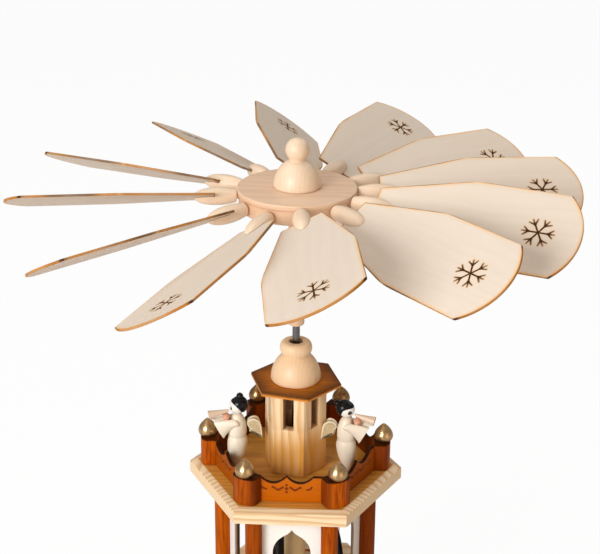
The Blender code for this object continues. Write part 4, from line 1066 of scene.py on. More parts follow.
def peg_radius(s, share):
    """Radius of the peg at a share of its length: it swells as a sine and closes as the root of
    1 - u^2.2, where u is the share of the way past the swell."""
    rise = np.sin(pi / 2 * np.minimum(1.0, share / s.peg_swell))
    past = np.maximum(0.0, (share - s.peg_swell) / (1 - s.peg_swell))
    return (s.peg_root + (s.peg_radius - s.peg_root) * rise) * np.sqrt(1 - past ** 2.2)


def peg_jaw(s, slot):
    """Half of the peg beside its slot, from that share of its length on: each ring is an arc of
    the peg's circle that ends at the slot's half width, and the chord back."""
    share = slot + (1 - slot) * (1 - (1 - np.linspace(0, 1, 22)) ** 2)
    share[0] -= 0.06
    radius, height = peg_radius(s, share)[:, None], (s.peg_start + share * s.peg_length)[:, None]
    low = np.minimum(s.peg_slot, radius * 0.98)
    start = np.arcsin(low / np.maximum(radius, low + 1e-9))
    curve = around(radius, height, start + (pi - 2 * start) * np.linspace(0, 1, 25))
    flat = radius * np.cos(start) * np.linspace(-1, 1, 9)[1:-1]
    chord = np.stack(np.broadcast_arrays(flat, low, height), axis=2)
    return np.concatenate([curve, chord], axis=1)


def build_pegs(s):
    """A turned spigot and shoulder, and a jaw on either side of the slot."""
    slot = (s.blade_root - GAP - s.peg_start) / s.peg_length
    share = np.linspace(0, slot, 18)[1:]
    body = np.stack([peg_radius(s, share), share * s.peg_length], axis=1)
    spigot = [(0, -s.spigot_length), (s.spigot_radius, -s.spigot_length), (s.spigot_radius, 0),
              (s.peg_root * 0.93, 0), (s.peg_root, 0.0004)]
    body = revolved(np.vstack([spigot, body]) + (0, s.peg_start), 40)
    jaw = peg_jaw(s, slot)
    for k in range(1, BLADES + 1):
        place = blade_stand(k) @ axes((0, 1, 0), (0, 0, 1), (1, 0, 0))
        peg = Piece(f"wheel_peg_{k}", f"blade_{k}", f"peg_{k}", crease=50)
        peg.add(body, place, own=body[..., [2, 0, 1]])
        for side in (1, -1):
            peg.add(jaw, place @ np.diag([side, side, 1, 1]), own=jaw[..., [2, 0, 1]])
        peg.build(turned_wood(0, k))


def build_hub(s):
    """One profile turned about Z: the bored neck, its flare and the disc's rim."""
    hub, rod = Extent("fan_hub"), Extent("steel_rod")
    side, bottom, roof = hub.radius - s.hub_inset, hub.top - s.hub_thick, rod.top + s.rod_gap
    bend, rim = bottom - s.neck_flare * 0.6, hub.top - s.hub_rim
    neck = rounded([(0, roof), (s.neck_bore, roof), (s.neck_bore, hub.foot),
                    (s.neck_radius, hub.foot), (s.neck_radius, bend)], (SHARP, 0.0006, 0.0018), 5)
    flare = flowing([(s.neck_radius, bend), (s.neck_radius * 1.15, bottom - s.neck_flare * 0.25),
                     (s.neck_flare, bottom)], 10)
    disc = rounded([(s.neck_flare, bottom), (side, bottom), (side, rim - 0.001), (hub.radius, rim),
                    (hub.radius, hub.top), (0.004, hub.top), (0, hub.top)],
                   (s.hub_edge, 0.0004, 0.0006, s.hub_edge, SHARP), 5)
    profile = np.vstack([neck[:-1], flare, disc[1:]])
    side = (profile[:, 1:] < hub.top - s.hub_edge) & (profile[:, 1:] > bottom)
    Piece("wheel_hub", FAN, "fan_hub", crease=30).add(
        revolved(profile, 120), side=side).build(disc_wood())


def build_knob(s):
    """A bell and a ball, turned about Z."""
    knob = Extent("fan_knob")
    shell = bell(knob.radius, s.knob_crown, s.knob_neck, knob.foot)
    start = -acos(s.knob_neck / s.knob_ball)
    centre = shell[-1, 1] + s.knob_waist - s.knob_ball * sin(start)
    ball = arc((0, centre), s.knob_ball, start, pi / 2, 22)
    ball[-1, 0] = 0
    profile = np.vstack([(0, knob.foot), (knob.radius * 0.97, knob.foot), shell[1:], ball])
    Piece("wheel_knob", FAN, "fan_knob", crease=60).add(revolved(profile)).build(
        turned_wood(2, 1))


def build_rod():
    """A rod turned about Z, with a rounded top and a point below."""
    rod = Extent("steel_rod")
    radius, point, dome = rod.radius, 0.005, rod.radius * 0.4
    line = [(0, rod.foot), (radius, rod.foot + point), (radius, rod.top - dome),
            (radius - dome, rod.top), (0, rod.top)]
    profile = rounded(line, (FINE_EDGE, dome, dome), 4)
    Piece("axle_rod", ROTOR, "steel_rod").add(revolved(profile, 40)).build(polished("steel", 0.12))


# Dome, roof and tower

def build_dome(s):
    """A bell and the arc of its collar, turned about Z with their bore, and the bush."""
    dome, bush = Extent("dome"), Extent("dome_bush")
    shell = bell(s.dome_radius, s.dome_crown, s.dome_waist, dome.foot)
    middle = s.collar_radius - s.collar_height * 0.33
    collar = arc((middle, shell[-1, 1] + s.collar_height * 0.52),
                 (s.collar_radius - middle, s.collar_height * 0.48), -pi / 4, pi / 2, 18)
    recess = dome.top - s.bush_recess
    seat = rounded([(middle, dome.top), (s.bush_seat, dome.top), (s.bush_seat, recess),
                    (s.dome_bore, recess), (s.dome_bore, dome.foot), (s.dome_radius, dome.foot)],
                   0.0004, 3)[1:-1]
    inner = [(s.bush_seat, dome.foot), (s.dome_radius * 0.97, dome.foot)]
    profile = np.vstack([shell[1:], collar, seat, inner])
    Piece("dome_turned", STAND, "dome", crease=50).add(revolved(profile, 80), loop=True).build(
        turned_wood(2, 2, "dome"))
    hole = Extent("steel_rod").radius + 0.0004
    ring = ring_section(hole, bush.radius, bush.foot, bush.top, FINE_EDGE)
    Piece("dome_bush_ring", STAND, "dome_bush").add(revolved(ring, 40), loop=True).build(
        polished("steel", 0.3))


def build_roof(s):
    """The section of a board, carried round a hexagon outside and a circle inside."""
    roof = Extent("roof")
    apothem = s.roof_corner * SLANT
    edge = ring_section(s.roof_bore, apothem, roof.foot, roof.top, 0.0005, 4)
    share = np.clip((s.roof_bore + 0.002 - edge[:, 0]) / 0.001, 0, 1)
    outer, high = edge[:, :1] > apothem - 0.0007, edge[:, 1:] > roof.foot + 0.0005
    grid = six_sided(edge, s.tower_turn, share, 96)
    # the outer side is scorched above and given a painted highlight below
    Piece("tower_roof", STAND, "roof").add(
        grid, loop=True, scorched=outer & high, worn=outer & ~high).build(roof_wood())


def tower_post(s, apothem):
    """Plan of the wall between two slots round +X: its outer corner, the sides of the slots, which
    are square to the tower's faces, and the bore."""
    half = s.slot_width / 2
    out, side = np.array((SLANT, 0.5)), np.array((0.5, -SLANT))
    face = apothem * out + half * side
    back = sqrt(s.tower_bore ** 2 - half ** 2) * out + half * side
    start = atan2(back[1], back[0])
    bore = arc((0, 0), s.tower_bore, start, -start, 9)
    line = np.vstack([bore[-1:], face * (1, -1), (s.tower_corner, 0), face, bore[:1]])
    corners = rounded(line, (0.0004, s.tower_edge, 0.0004), 4)
    return denser(np.vstack([corners[1:-1], bore]), 0.003)


def build_tower(s):
    """A low wall, carried round as the roof is, and six posts carried straight up."""
    tower, floor = Extent("tower"), Extent("balcony_plate").top
    sill = floor + s.slot_sill
    apothem = s.tower_corner * SLANT
    wall = ring_section(s.tower_bore, apothem, tower.foot, sill, 0.0004)
    share = np.clip((apothem - wall[:, 0]) / (apothem - s.tower_bore - 0.0005), 0, 1)
    grid = six_sided(wall, s.tower_turn, share, 96)
    piece = Piece("tower_posts", STAND, "tower")
    # painted shade on the bore's side of the low wall
    inside = (wall[:, :1] < apothem - 0.0012) * 0.6
    piece.add(grid, loop=True, own=grid - (0, 0, floor), inside=inside)
    post = carried(tower_post(s, apothem), board_rows(sill - 0.0005, tower.top, 0.0002))
    radius, turn = np.hypot(post[..., 0], post[..., 1]), np.arctan2(post[..., 1], post[..., 0])
    face = apothem / np.cos(pi / 6 - np.minimum(np.abs(turn), pi / 6))
    # painted shade, deeper the farther a point lies inside the tower's faces
    dark = np.clip((face - radius) / 0.004, 0, 1)
    for k in range(6):
        place = turned(s.tower_turn + 60 * k)
        piece.add(post, place, own=post @ place[:3, :3].T - (0, 0, floor), inside=dark)
    piece.build(tower_pine())


# Balcony

def build_plate(s):
    """The section of a board with a chamfer, carried round a hexagon and its bore."""
    plate = Extent("balcony_plate")
    inner = s.plate_apothem - s.chamfer_width
    outline = [(s.plate_bore, plate.foot), (s.plate_apothem, plate.foot),
               (s.plate_apothem, plate.top - s.chamfer_drop), (inner, plate.top),
               (inner - 0.0012, plate.top), (s.plate_bore + 0.004, plate.top),
               (s.plate_bore, plate.top)]
    cuts = (FINE_EDGE, 0.0005, 0.0006, 0.0006, SHARP, SHARP, FINE_EDGE)
    edge = rounded(outline, cuts, 4, closed=True)
    share = np.clip((s.plate_bore + 0.006 - edge[:, 0]) / 0.004, 0, 1)
    # where the painted shade lies: the flat top inside the chamfer
    stained = (edge[:, 1:] > plate.top - 0.0001) & (edge[:, :1] < inner - 0.0004)
    grid = six_sided(edge, 0.0, share, 144)
    Piece("balcony_floor", STAND, "balcony_plate").add(
        grid, loop=True, own=grid - (0, 0, plate.top), stained=stained).build(balcony_pine())


def fence_panel(s):
    """A fence panel along X and how dark it is: scorched along its top edge, and darker all over
    its back. Its front, rounded top edge and back are carried along. The top is a line up to the
    pointed middle, less the fence's dip times sin(pi t)^0.8 along the scallop beside it."""
    half = (s.fence_middle / SLANT - s.fence_wall) / 2
    along = np.sort(np.append(np.linspace(-half, half, 97), -s.fence_shift))
    share = np.clip(1 - np.abs(along + s.fence_shift) / s.fence_scallop, 0, 1)
    top = s.fence_height + (s.fence_peak - s.fence_height) * share
    top = top - s.fence_dip * np.sin(pi * share) ** 0.8
    wall, edge = s.fence_wall / 2, 0.0005
    rows = [(-wall, 0, 0), (-wall, 0.35, 0), (-wall, 0.7, 0), (-wall, 1, -0.0016),
            (-wall, 1, -0.0011)]
    rows += [(x, 1, z) for x, z in arc((edge - wall, -edge), (-edge, edge), 0, pi / 2, 4)]
    rows = np.vstack([rows, (np.array(rows) * (-1, 1, 1))[::-1]])[::-1]
    depth, share, more = rows.T[:, None]
    height = share * top[:, None] + more
    # darkest along the top edge, which is scorched, and darker over the whole back face
    burn = np.maximum(np.clip(1 - (top[:, None] - height - 0.0003) / 0.0004, 0, 1),
                      (depth > 0) * 0.6)
    return np.stack(np.broadcast_arrays(along[:, None], depth, height), axis=2), burn


def newel(s):
    """A newel with a flat back and a round front, and shares: how near it is to the top edge, and
    to its sides."""
    half = s.newel_width / 2
    front = arc((0, 0), (s.newel_outer, half), -pi / 2, pi / 2, 25)
    plan = np.vstack([(-s.newel_inner, half), (-s.newel_inner, -half), front])
    plan = denser(rounded(plan, [0.0012] * 2 + [SHARP] * 25, 4, closed=True), 0.002)
    levels = (s.newel_height - 0.0012, s.newel_height - 0.0008)
    grid = carried(plan, board_rows(0, s.newel_height, 0.0005, None, levels))
    high = np.clip((grid[..., 2] - s.newel_height + 0.0006) / 0.0005, 0, 1)
    return grid, high, np.clip((np.abs(grid[..., 1]) - s.newel_width * 0.24) / 0.0035, 0, 1)


def build_fence(s):
    """Six panels and six newels."""
    panel, burn = fence_panel(s)
    post, high, side = newel(s)
    places = [turned(60 * k) @ shifted(z=Extent("balustrade").foot) for k in range(6)]
    for k, place in enumerate(places):
        Piece(f"fence_panel_{k + 1}", STAND, "balustrade", crease=40).add(
            panel, place @ shifted(0, -s.fence_middle), scorched=burn).build(
            fence_wood(k, PANEL_SHADE[k]))
    # painted shade on each newel, more at its sides, which also stand for scorched edges
    for k, (place, (least, most)) in enumerate(zip(places, NEWEL_SHADE_AND_SCORCH)):
        Piece(f"fence_newel_{k + 1}", STAND, "balustrade", crease=40).add(
            post, place @ shifted(s.newel_ring), scorched=0.85 * high,
            smoked=least + (most - least) * side).build(stained_wood("upright", k + 2))


def build_finials():
    """A smooth curve through shares of the finial's radius and height, turned about Z."""
    shape = ((0.6, 0.0), (0.84, 0.06), (0.98, 0.2), (1.0, 0.31), (0.94, 0.45), (0.82, 0.58),
             (0.64, 0.71), (0.42, 0.84), (0.24, 0.93), (0.10, 0.985), (0.0, 1.0))
    for k in range(1, 7):
        finial = Extent(f"finial_{k}")
        profile = flowing(np.array(shape) * (finial.radius, finial.height), 40)
        profile = np.vstack([(0, 0), profile[:-1], (0, finial.height)])
        # painted shade: the finials at the back are darker as if they stood in shade
        worn = 0.7 if finial.middle[1] > 0.01 else 0.15
        # patina and a painted dark reflection at the foot
        foot = np.clip(1.25 - profile[:, 1:] / (finial.height * 0.32), 0, 1)
        place = shifted(finial.middle[0], finial.middle[1], finial.foot)
        Piece(f"balcony_finial_{k}", STAND, f"finial_{k}", crease=70).add(
            revolved(profile, 40), place, foot=foot).build(gilded(worn))


# Angels

def head_middle(s):
    """Middle of the head in the angel's own place."""
    return np.array((-s.lean, 0.0, s.skirt_height + s.jacket_height + GAP + s.head))


def trumpet_line(s):
    """Where the trumpet meets the lips, and its direction, both in the angel's own XZ plane."""
    lean, drop = radians(s.mouth_drop), radians(s.trumpet_drop)
    out = s.head + GAP + s.trumpet_mouth * sin(lean - drop)
    mouth = head_middle(s) + out * np.array((cos(lean), 0.0, -sin(lean)))
    return mouth, np.array((cos(drop), 0.0, -sin(drop)))


def robe_grid(s):
    """The robe: a smooth profile turned about Z, moved back in step with its height."""
    top, tall = s.skirt_height, s.jacket_height
    skirt = [(0.0009, 0.0004), (0.0030, top * 0.16), (0.0054, top * 0.42), (0.0065, top * 0.64),
             (s.skirt_radius, top * 0.82), (0.0064, top * 0.96)]
    jacket = [(0.0058, 0.06), (0.0061, 0.16), (s.jacket_radius, 0.34),
              (s.jacket_radius * 0.95, 0.58), (s.jacket_radius * 0.76, 0.8), (0.0034, 0.94),
              (0.0022, 1.0)]
    line = flowing(skirt + [(radius, top + tall * share) for radius, share in jacket], 70)
    grid = revolved(np.vstack([(0, GAP), line, (0, line[-1, 1])]), 48)
    grid[..., 0] -= s.lean * np.minimum(1.0, 2 * grid[..., 2] / (top + tall))
    return grid


def sleeve_grid(s, side):
    """A wide sleeve: lens-shaped rings from the shoulder to the cuff, then back inside it. A ring
    is its middle plus tall cos a up the cuff and wide sin a |sin a|^0.4 across."""
    shoulder = np.array((-s.lean - 0.0004, side * 0.0046, s.skirt_height + s.jacket_height * 0.74))
    cuff = np.array((0.0114, side * 0.0028, 0.0300))
    up, across = np.array((0.47, 0.0, 0.88)), np.array((0.0, 1.0, 0.0))
    share = np.concatenate([np.linspace(0.0, 1.0, 16), [1.004, 0.99], np.linspace(0.95, 0.72, 4)])
    wall = np.concatenate([np.zeros(16), [0.0002, 0.0005], np.full(4, 0.0006)])
    tall = 0.0027 + (s.cuff_half - 0.0027) * share ** 1.4 - wall
    wide = 0.0030 + (s.cuff_side - 0.0030) * share - wall
    tall[0], wide[0] = tall[0] * 0.55, wide[0] * 0.55
    angle = circle(40)[:, None]
    lens = np.sin(angle) * np.abs(np.sin(angle)) ** 0.4
    rise = 0.0012 * np.sin(pi * np.clip(share, 0, 1))
    middle = shoulder + (cuff - shoulder) * share[:, None] + up * rise[:, None]
    grid = (middle[:, None] + tall[:, None, None] * np.cos(angle) * up
            + wide[:, None, None] * lens * across)
    # the second grid: painted shade inside the sleeve, past its cuff
    return grid, np.concatenate([np.zeros(17), [0.5], np.ones(4)])[:, None]


def wing_outline():
    """A leaf with its point down and back, and a notch on the side of the body."""
    shape = [(-3.4, 0.1), (-0.4, 2.6), (2.2, 4.4), (4.3, 6.2), (3.3, 7.2), (3.9, 9.0), (4.6, 11.2),
             (3.9, 13.5), (1.5, 14.9), (-1.6, 14.6), (-3.9, 12.6), (-4.7, 9.6), (-4.5, 6.0),
             (-3.9, 2.6)]
    return flowing(np.array(shape) * MM, 84, closed=True)


def hair_grid(s, reach_side, reach_front, reach_nape=104.0, least=0.0002):
    """Hair as a cap on the head: rings of directions about an axis that points back and up, out to
    a reach of its own in front, at the nape and at the sides. Along a direction the hair reaches
    as far as a ball behind the face, d c + root(R^2 - c^2 + (d c)^2) for its middle c."""
    crown = radians(138.0)
    pole = np.array((cos(crown), 0.0, sin(crown)))
    front, side = np.array((sin(crown), 0.0, -cos(crown))), np.array((0.0, 1.0, 0.0))
    turn = circle(72)[:, None]
    middle = np.where(np.cos(turn) > 0, reach_front, reach_nape)
    reach = reach_side + (middle - reach_side) * np.abs(np.cos(turn)) ** 1.6
    share = np.append(0.72, np.linspace(1.0, 0.0, 34))[:, None]
    angle = (np.radians(reach[:, 0]) * share)[..., None]
    way = np.cos(angle) * pole + np.sin(angle) * (np.cos(turn) * front + np.sin(turn) * side)
    centre = np.array((-s.hair_back, 0.0, s.hair_up))
    toward = way @ centre
    ball = toward + np.sqrt(s.hair ** 2 - centre @ centre + toward ** 2)
    skin = s.head - 0.0003
    thick = np.maximum(least, ball - skin) * np.minimum(1.0, (1 - share) * 7) ** 0.5
    thick[0] = -0.0005
    return (skin + thick)[..., None] * way


def horn_profile(s):
    """The trumpet's profile, which is hollow at its bell, and how far inside the bell it is, which
    sets the painted shade there.
    """
    share = np.linspace(0, 1, 24)
    tall, cone = s.trumpet_length, horn_radius(s, share)
    lip = [(s.trumpet_bell - 0.0001, tall), (0.0026, tall - 0.0002)]
    well = [(0.0023, tall * 0.94), (0.0012, tall * 0.8), (0, tall * 0.72)]
    profile = np.vstack([(0, 0), np.stack([cone, tall * share], axis=1), lip, well])
    return profile, (np.arange(len(profile)) >= len(profile) - 4)[:, None]


def horn_radius(s, share):
    """Radius of the trumpet at a share of its length: it grows with the share's power 1.15."""
    return s.trumpet_mouth + (s.trumpet_bell - s.trumpet_mouth) * share ** 1.15


def build_angel(s, name, eye_size):
    """One angel: robe and sleeves, hands, wings, head with its hair, and trumpet."""
    turn, ring, bun, hair_side, fringe, eye = (
        getattr(s, f"{name}_{part}") for part in ("turn", "ring", "bun", "hair", "fringe", "eye"))
    place = turned(turn) @ shifted(ring, 0, Extent("balcony_plate").top)
    body, head, horn = (f"angel_{name}_{part}" for part in ("body", "head", "trumpet"))
    robe = Piece(f"{body}_robe", STAND, body, crease=60)
    shell = robe_grid(s)
    x, y, z = np.moveaxis(shell, 2, 0)
    collar = s.skirt_height + s.jacket_height * 0.55
    # painted shade at the chest, between the arms and the chin
    opening = (np.clip((x - 0.0012) / 0.0012, 0, 1) * np.clip((z - collar) / 0.002, 0, 1)
               * np.clip((0.0032 - np.abs(y)) / 0.001, 0, 1))
    robe.add(shell, place, inside=opening * 0.6)
    for side in (1, -1):
        grid, inside = sleeve_grid(s, side)
        robe.add(grid[:, ::-1], place, inside=inside)
    robe.build(lined_paint("robe", "robe_lining"))

    mouth, along = trumpet_line(s)
    down = np.array((along[2], 0.0, -along[0]))
    grip, hand = 0.22, (0.0027, 0.0038, 0.0024)
    hands = mouth + along * s.trumpet_length * grip + down * (horn_radius(s, grip) + GAP + hand[2])
    Piece(f"{body}_hands", STAND, body, crease=60).add(
        ellipsoid(hand, hands), place).build(painted("hands", 0.4, 2))
    wings = Piece(f"{body}_wings", STAND, body, crease=50)
    rows = board_rows(-s.wing_thick / 2, s.wing_thick / 2, 0.0004, (0.001, 0.0016))
    leaf = carried(wing_outline(), rows)
    tilt = radians(s.wing_tilt)
    lean = axes((cos(tilt), 0, -sin(tilt)), (sin(tilt), 0, cos(tilt)), (0, -1, 0))
    for side in (1, -1):
        hinge = place @ shifted(-0.0149, side * 0.0028, 0.0222) @ turned(-side * s.wing_open)
        wings.add(leaf, hinge @ lean, rim=rows[:, :1] / MM)
    wings.build(glitter_wing())

    skull = place @ shifted(*head_middle(s))
    Piece(f"{head}_face", STAND, head, crease=70).add(
        ellipsoid((s.head - 0.00025,) * 3, sides=64, rows=40), skull).build(
        doll_face(eye, *eye_size))
    hair = Piece(f"{head}_hair", STAND, head, crease=60)
    hair.add(hair_grid(s, hair_side, fringe), skull, ends=(True, False))
    back, out = radians(bun), s.head + s.bun * 0.55
    hair.add(ellipsoid((s.bun,) * 3, (-out * sin(back), 0, out * cos(back))), skull)
    hair.build(painted("hair", 0.12, 1), "white_face")
    profile, inside = horn_profile(s)
    Piece(f"{horn}_cone", STAND, horn, crease=60).add(
        revolved(profile, 40), place @ axes(down, (0, 1, 0), along, mouth), inside=inside).build(
        lined_paint("horn", "horn_lining"))


# Colonnade

def arch_radius(half, sill, spring, rise, point, middle, angles):
    """An ogee arch as a distance from a middle point at given angles: straight sides, a half
    ellipse and a pointed crown of point exp(-x / 2 mm) above it."""
    crown = arc((0, spring), (half, rise), 0, pi / 2, 60)
    crown[:, 1] += point * np.exp(-crown[:, 0] / 0.002)
    right = denser_line(np.vstack([(0, sill), (half, sill), crown]), 0.0008)
    line = np.vstack([right, (right * (-1, 1))[::-1][1:-1]]) - (0, middle)
    turn = np.arctan2(line[:, 1], line[:, 0])
    order = np.argsort(turn)
    return np.interp(angles, turn[order], np.hypot(*line.T)[order], period=2 * pi)


def denser_line(line, step):
    """An open line with points added so that none of its steps is longer than the step."""
    far = np.append(0, np.cumsum(np.linalg.norm(np.diff(line, axis=0), axis=1)))
    place = np.unique(np.concatenate([far, np.arange(0, far[-1], step)]))
    return np.stack([np.interp(place, far, line[:, k]) for k in (0, 1)], axis=1)


def arch_frame(apothem, wall, low, high, arch, edge):
    """A flat panel of a six-sided screen with an arch cut through it: rings between the panel's
    mitred rectangle and the arch, both as distances from a middle point at the same angles. Each
    row of rings has its depth, and the arch's room round it or None for the rectangle."""
    half, sill, spring, rise, point = arch
    middle = (sill + spring) / 2
    tall, wide = high - low - middle, apothem / sqrt(3)
    corners = ((wide, -middle), (wide, tall), (-wide, -middle), (-wide, tall),
               (half, sill - middle), (-half, sill - middle), (0, spring + rise + point - middle))
    angles = [*np.linspace(-pi, pi, 240, endpoint=False), *(atan2(z, x) for x, z in corners)]
    angles = np.unique(np.round(angles, 6))
    opening = arch_radius(*arch, middle, angles)
    x_way, z_way = np.cos(angles), np.sin(angles)
    up = np.where(z_way > 0, tall, middle) / np.maximum(1e-6, np.abs(z_way))
    rows = []
    for depth, room in ((wall, edge), (wall, None), (0.0, None), (0.0, edge), (edge, 0.0),
                        (wall - edge, 0.0)):
        out = (apothem - depth) / sqrt(3) / np.maximum(1e-6, np.abs(x_way))
        radius = np.minimum(out, up) if room is None else opening + room
        rows.append(np.stack([radius * x_way, np.full_like(radius, depth - apothem),
                              low + middle + radius * z_way], axis=1))
    return np.stack(rows)


def build_colonnade(s):
    """Turned columns, two rails with a box section round a hexagon, and six arches."""
    box, screen = Extent("colonnade"), Extent("arch_screen")
    line = rounded([(0, box.foot), (s.column_radius, box.foot), (s.column_radius, box.top),
                    (0, box.top)], FINE_EDGE, 3)
    # painted shade darkens the columns at the back and the sides
    for k in range(6):
        Piece(f"column_{k + 1}", STAND, "colonnade").add(
            revolved(line, 48), turned(60 * k) @ shifted(s.column_ring),
            smoked=COLUMN_SHADE[k]).build(stained_wood("upright", k + 11))
    inner = s.screen_apothem + GAP
    for name, low in (("sill", box.foot), ("head", box.top - s.rail_height)):
        line = ring_section(inner, inner + s.rail_width, low, low + s.rail_height, FINE_EDGE)
        Piece(f"colonnade_{name}", STAND, "colonnade").add(six_sided(line), loop=True).build(
            stained_wood("flat", 5))
    arch = (s.arch_half, s.arch_sill, s.arch_spring, s.arch_rise, s.arch_point)
    grid = arch_frame(s.screen_apothem, s.screen_wall, screen.foot, screen.top, arch, FINE_EDGE)
    panels = Piece("arch_panels", STAND, "arch_screen", crease=25)
    # painted shade on the panel's back and in the arch's reveal, deeper towards the back
    back = np.array((1.0, 1.0, 0.0, 0.0, 0.4, 1.0))[:, None]
    for k in range(6):
        panels.add(grid, turned(60 * k), loop=True, inside=back)
    panels.build(lined_paint("panel", "panel_back"))


def build_turntable(s):
    """The axle and the disc as turned rings, and caped figures: the cape narrows as
    cos(pi t / 2)^0.62 up to the neck."""
    axle, table = Extent("axle_sleeve"), Extent("turntable")
    bore = Extent("steel_rod").radius + GAP
    line = ring_section(bore, axle.radius, axle.foot, axle.top, 0.0005, 4)
    # the axle's colours carry painted warm light
    Piece("axle_wood", ROTOR, "axle_sleeve").add(revolved(line, 48), loop=True).build(
        turned_wood(2, 5, "axle"))
    line = ring_section(axle.radius + GAP, table.radius, table.foot, table.top, 0.0009, 5)
    Piece("turntable_disc", ROTOR, "turntable").add(revolved(line, 96), loop=True).build(pine(2))
    foot, head = table.top + GAP, s.figure_head
    share = np.linspace(0, 0.97, 34)
    wide = s.figure_neck + (s.figure_radius - s.figure_neck) * np.cos(pi / 2 * share) ** 0.62
    cape = np.vstack([(0, foot), np.stack([wide, foot + s.figure_cape * share], axis=1),
                      (0, foot + s.figure_cape * 0.985)])
    centre = foot + s.figure_cape + head * 0.85
    brim = [(0, 0.62), (0.97, 0.62), (0.97 * 1.03, 0.8), (0.97 * 0.85, 1.1), (0, 1.2)]
    brim = rounded(np.array(brim) * head + (0, centre), 0.0005, 4)
    for k in range(s.figures):
        place = turned(s.figure_first + 360 * k / s.figures) @ shifted(s.figure_ring)
        node = f"caroler_{k + 1}"
        robe = Piece(f"{node}_cape", ROTOR, node, crease=60)
        robe.add(revolved(cape, 48), place).add(revolved(brim, 40), place)
        robe.build(painted("cape", 0.2, 4))
        Piece(f"{node}_head", ROTOR, node, crease=70).add(
            ellipsoid((head,) * 3, sides=40, rows=24), place @ shifted(z=centre)).build(
            doll_face(24.0, 9.0, 11.0), "white_face")


# Base

def build_base(s):
    """Profiles carried round hexagons: board, drum and cornice, with blind arches."""
    box, bearing = Extent("base"), Extent("bearing_cup")
    board, plinth, drum, cornice = (corner * SLANT for corner in (
        s.base_corner, s.plinth_corner, s.drum_corner, s.cornice_corner))
    top, foot, head = s.base_height, s.base_height + s.plinth_height, box.top - s.cornice_height
    line = rounded([(0, 0), (board, 0), (board, top), (plinth - 0.003, top), (0, top)],
                   (0.001, 0.0022, SHARP), 5)
    Piece("base_board", STAND, "base", crease=30).add(six_sided(line, sides=144)).build(pine(1))
    low = top - 0.001
    line = rounded([(0, low), (plinth, low), (plinth, foot), (drum - 0.003, foot), (0, foot)],
                   (SHARP, 0.0022, SHARP), 5)
    Piece("drum_foot", STAND, "base", crease=30).add(six_sided(line, sides=120)).build(
        stained_wood("flat", 8))
    core, low, high = drum - s.niche_depth, foot - 0.001, head + 0.001
    line = np.array([(0, low), (core, low), (core, high), (0, high)])
    Piece("drum_core", STAND, "base", crease=30).add(six_sided(line)).build(
        painted("panel", 0.42, 7))
    arch = (s.niche_half, s.niche_sill, s.niche_spring, s.niche_rise, s.arch_point)
    faces = arch_frame(drum, s.niche_depth + 0.0002, foot, head, arch, 0.0004)
    front = Piece("drum_faces", STAND, "base", crease=25)
    for k in range(6):
        front.add(faces, turned(60 * k), loop=True)
    front.build(pine(4))
    pocket, floor = s.pocket_radius, box.top - s.pocket_depth
    line = rounded([(cornice - 0.003, head), (cornice, head), (cornice, box.top),
                    (cornice - 0.004, box.top), (pocket + 0.004, box.top), (pocket, box.top),
                    (pocket, floor), (0, floor)],
                   (0.001, 0.0015, SHARP, SHARP, FINE_EDGE, FINE_EDGE), 4)
    line = np.vstack([(0, head), line])
    share = np.clip((pocket + 0.008 - line[:, 0]) / 0.004, 0, 1)
    Piece("drum_cornice", STAND, "base", crease=30).add(
        six_sided(line, 0.0, share, 120)).build(pine(6))
    line = rounded([(0, bearing.foot), (bearing.radius, bearing.foot),
                    (bearing.radius, bearing.top), (0.004, bearing.top),
                    (0, bearing.top - 0.005)], 0.0004, 3)
    Piece("bearing_brass", STAND, "bearing_cup").add(revolved(line, 40)).build(
        polished("brass", 0.22))


def build_cups(s):
    """A foot, a quarter ellipse as bowl and the candle's socket, turned about Z."""
    for k in range(1, 7):
        cup = Extent(f"candle_cup_{k}")
        tall, floor = cup.height, cup.height - s.socket_depth
        bowl = arc((s.cup_waist, tall * 0.8), (s.cup_radius - s.cup_waist, tall * 0.42),
                   -pi / 2, 0, 14)
        foot = rounded([(0, 0), (s.cup_foot, 0), (s.cup_foot, tall * 0.12),
                        (s.cup_waist, tall * 0.26), bowl[0], bowl[1]],
                       (0.0005, 0.0012, 0.0015, 0.001), 4)[:-1]
        rim = rounded([bowl[-2], (s.cup_radius, tall), (s.socket_radius, tall),
                       (s.socket_radius, floor), (0, floor)], (0.0008, 0.0005, 0.0008), 4)
        profile = np.vstack([foot, bowl[1:-1], rim[1:]])
        place = shifted(cup.middle[0], cup.middle[1], cup.foot)
        Piece(f"cup_{k}", STAND, f"candle_cup_{k}", crease=50).add(
            revolved(profile, 56), place).build(turned_wood(2, k + 6))


# Stage

def lamp(name, power, size, tint, place):
    """A round soft lamp that faces the tower."""
    light = bpy.data.lights.new(name, "AREA")
    light.energy, light.color, light.shape, light.size = power, tint, "DISK", size
    made = bpy.data.objects.new(name, light)
    bpy.context.scene.collection.objects.link(made)
    back = np.array(place) - LAMP_AIM
    back = back / np.linalg.norm(back)
    right = np.cross((0.0, 0.0, 1.0), back)
    right = right / np.linalg.norm(right)
    made.matrix_world = Matrix(axes(right, np.cross(back, right), back, place).tolist())


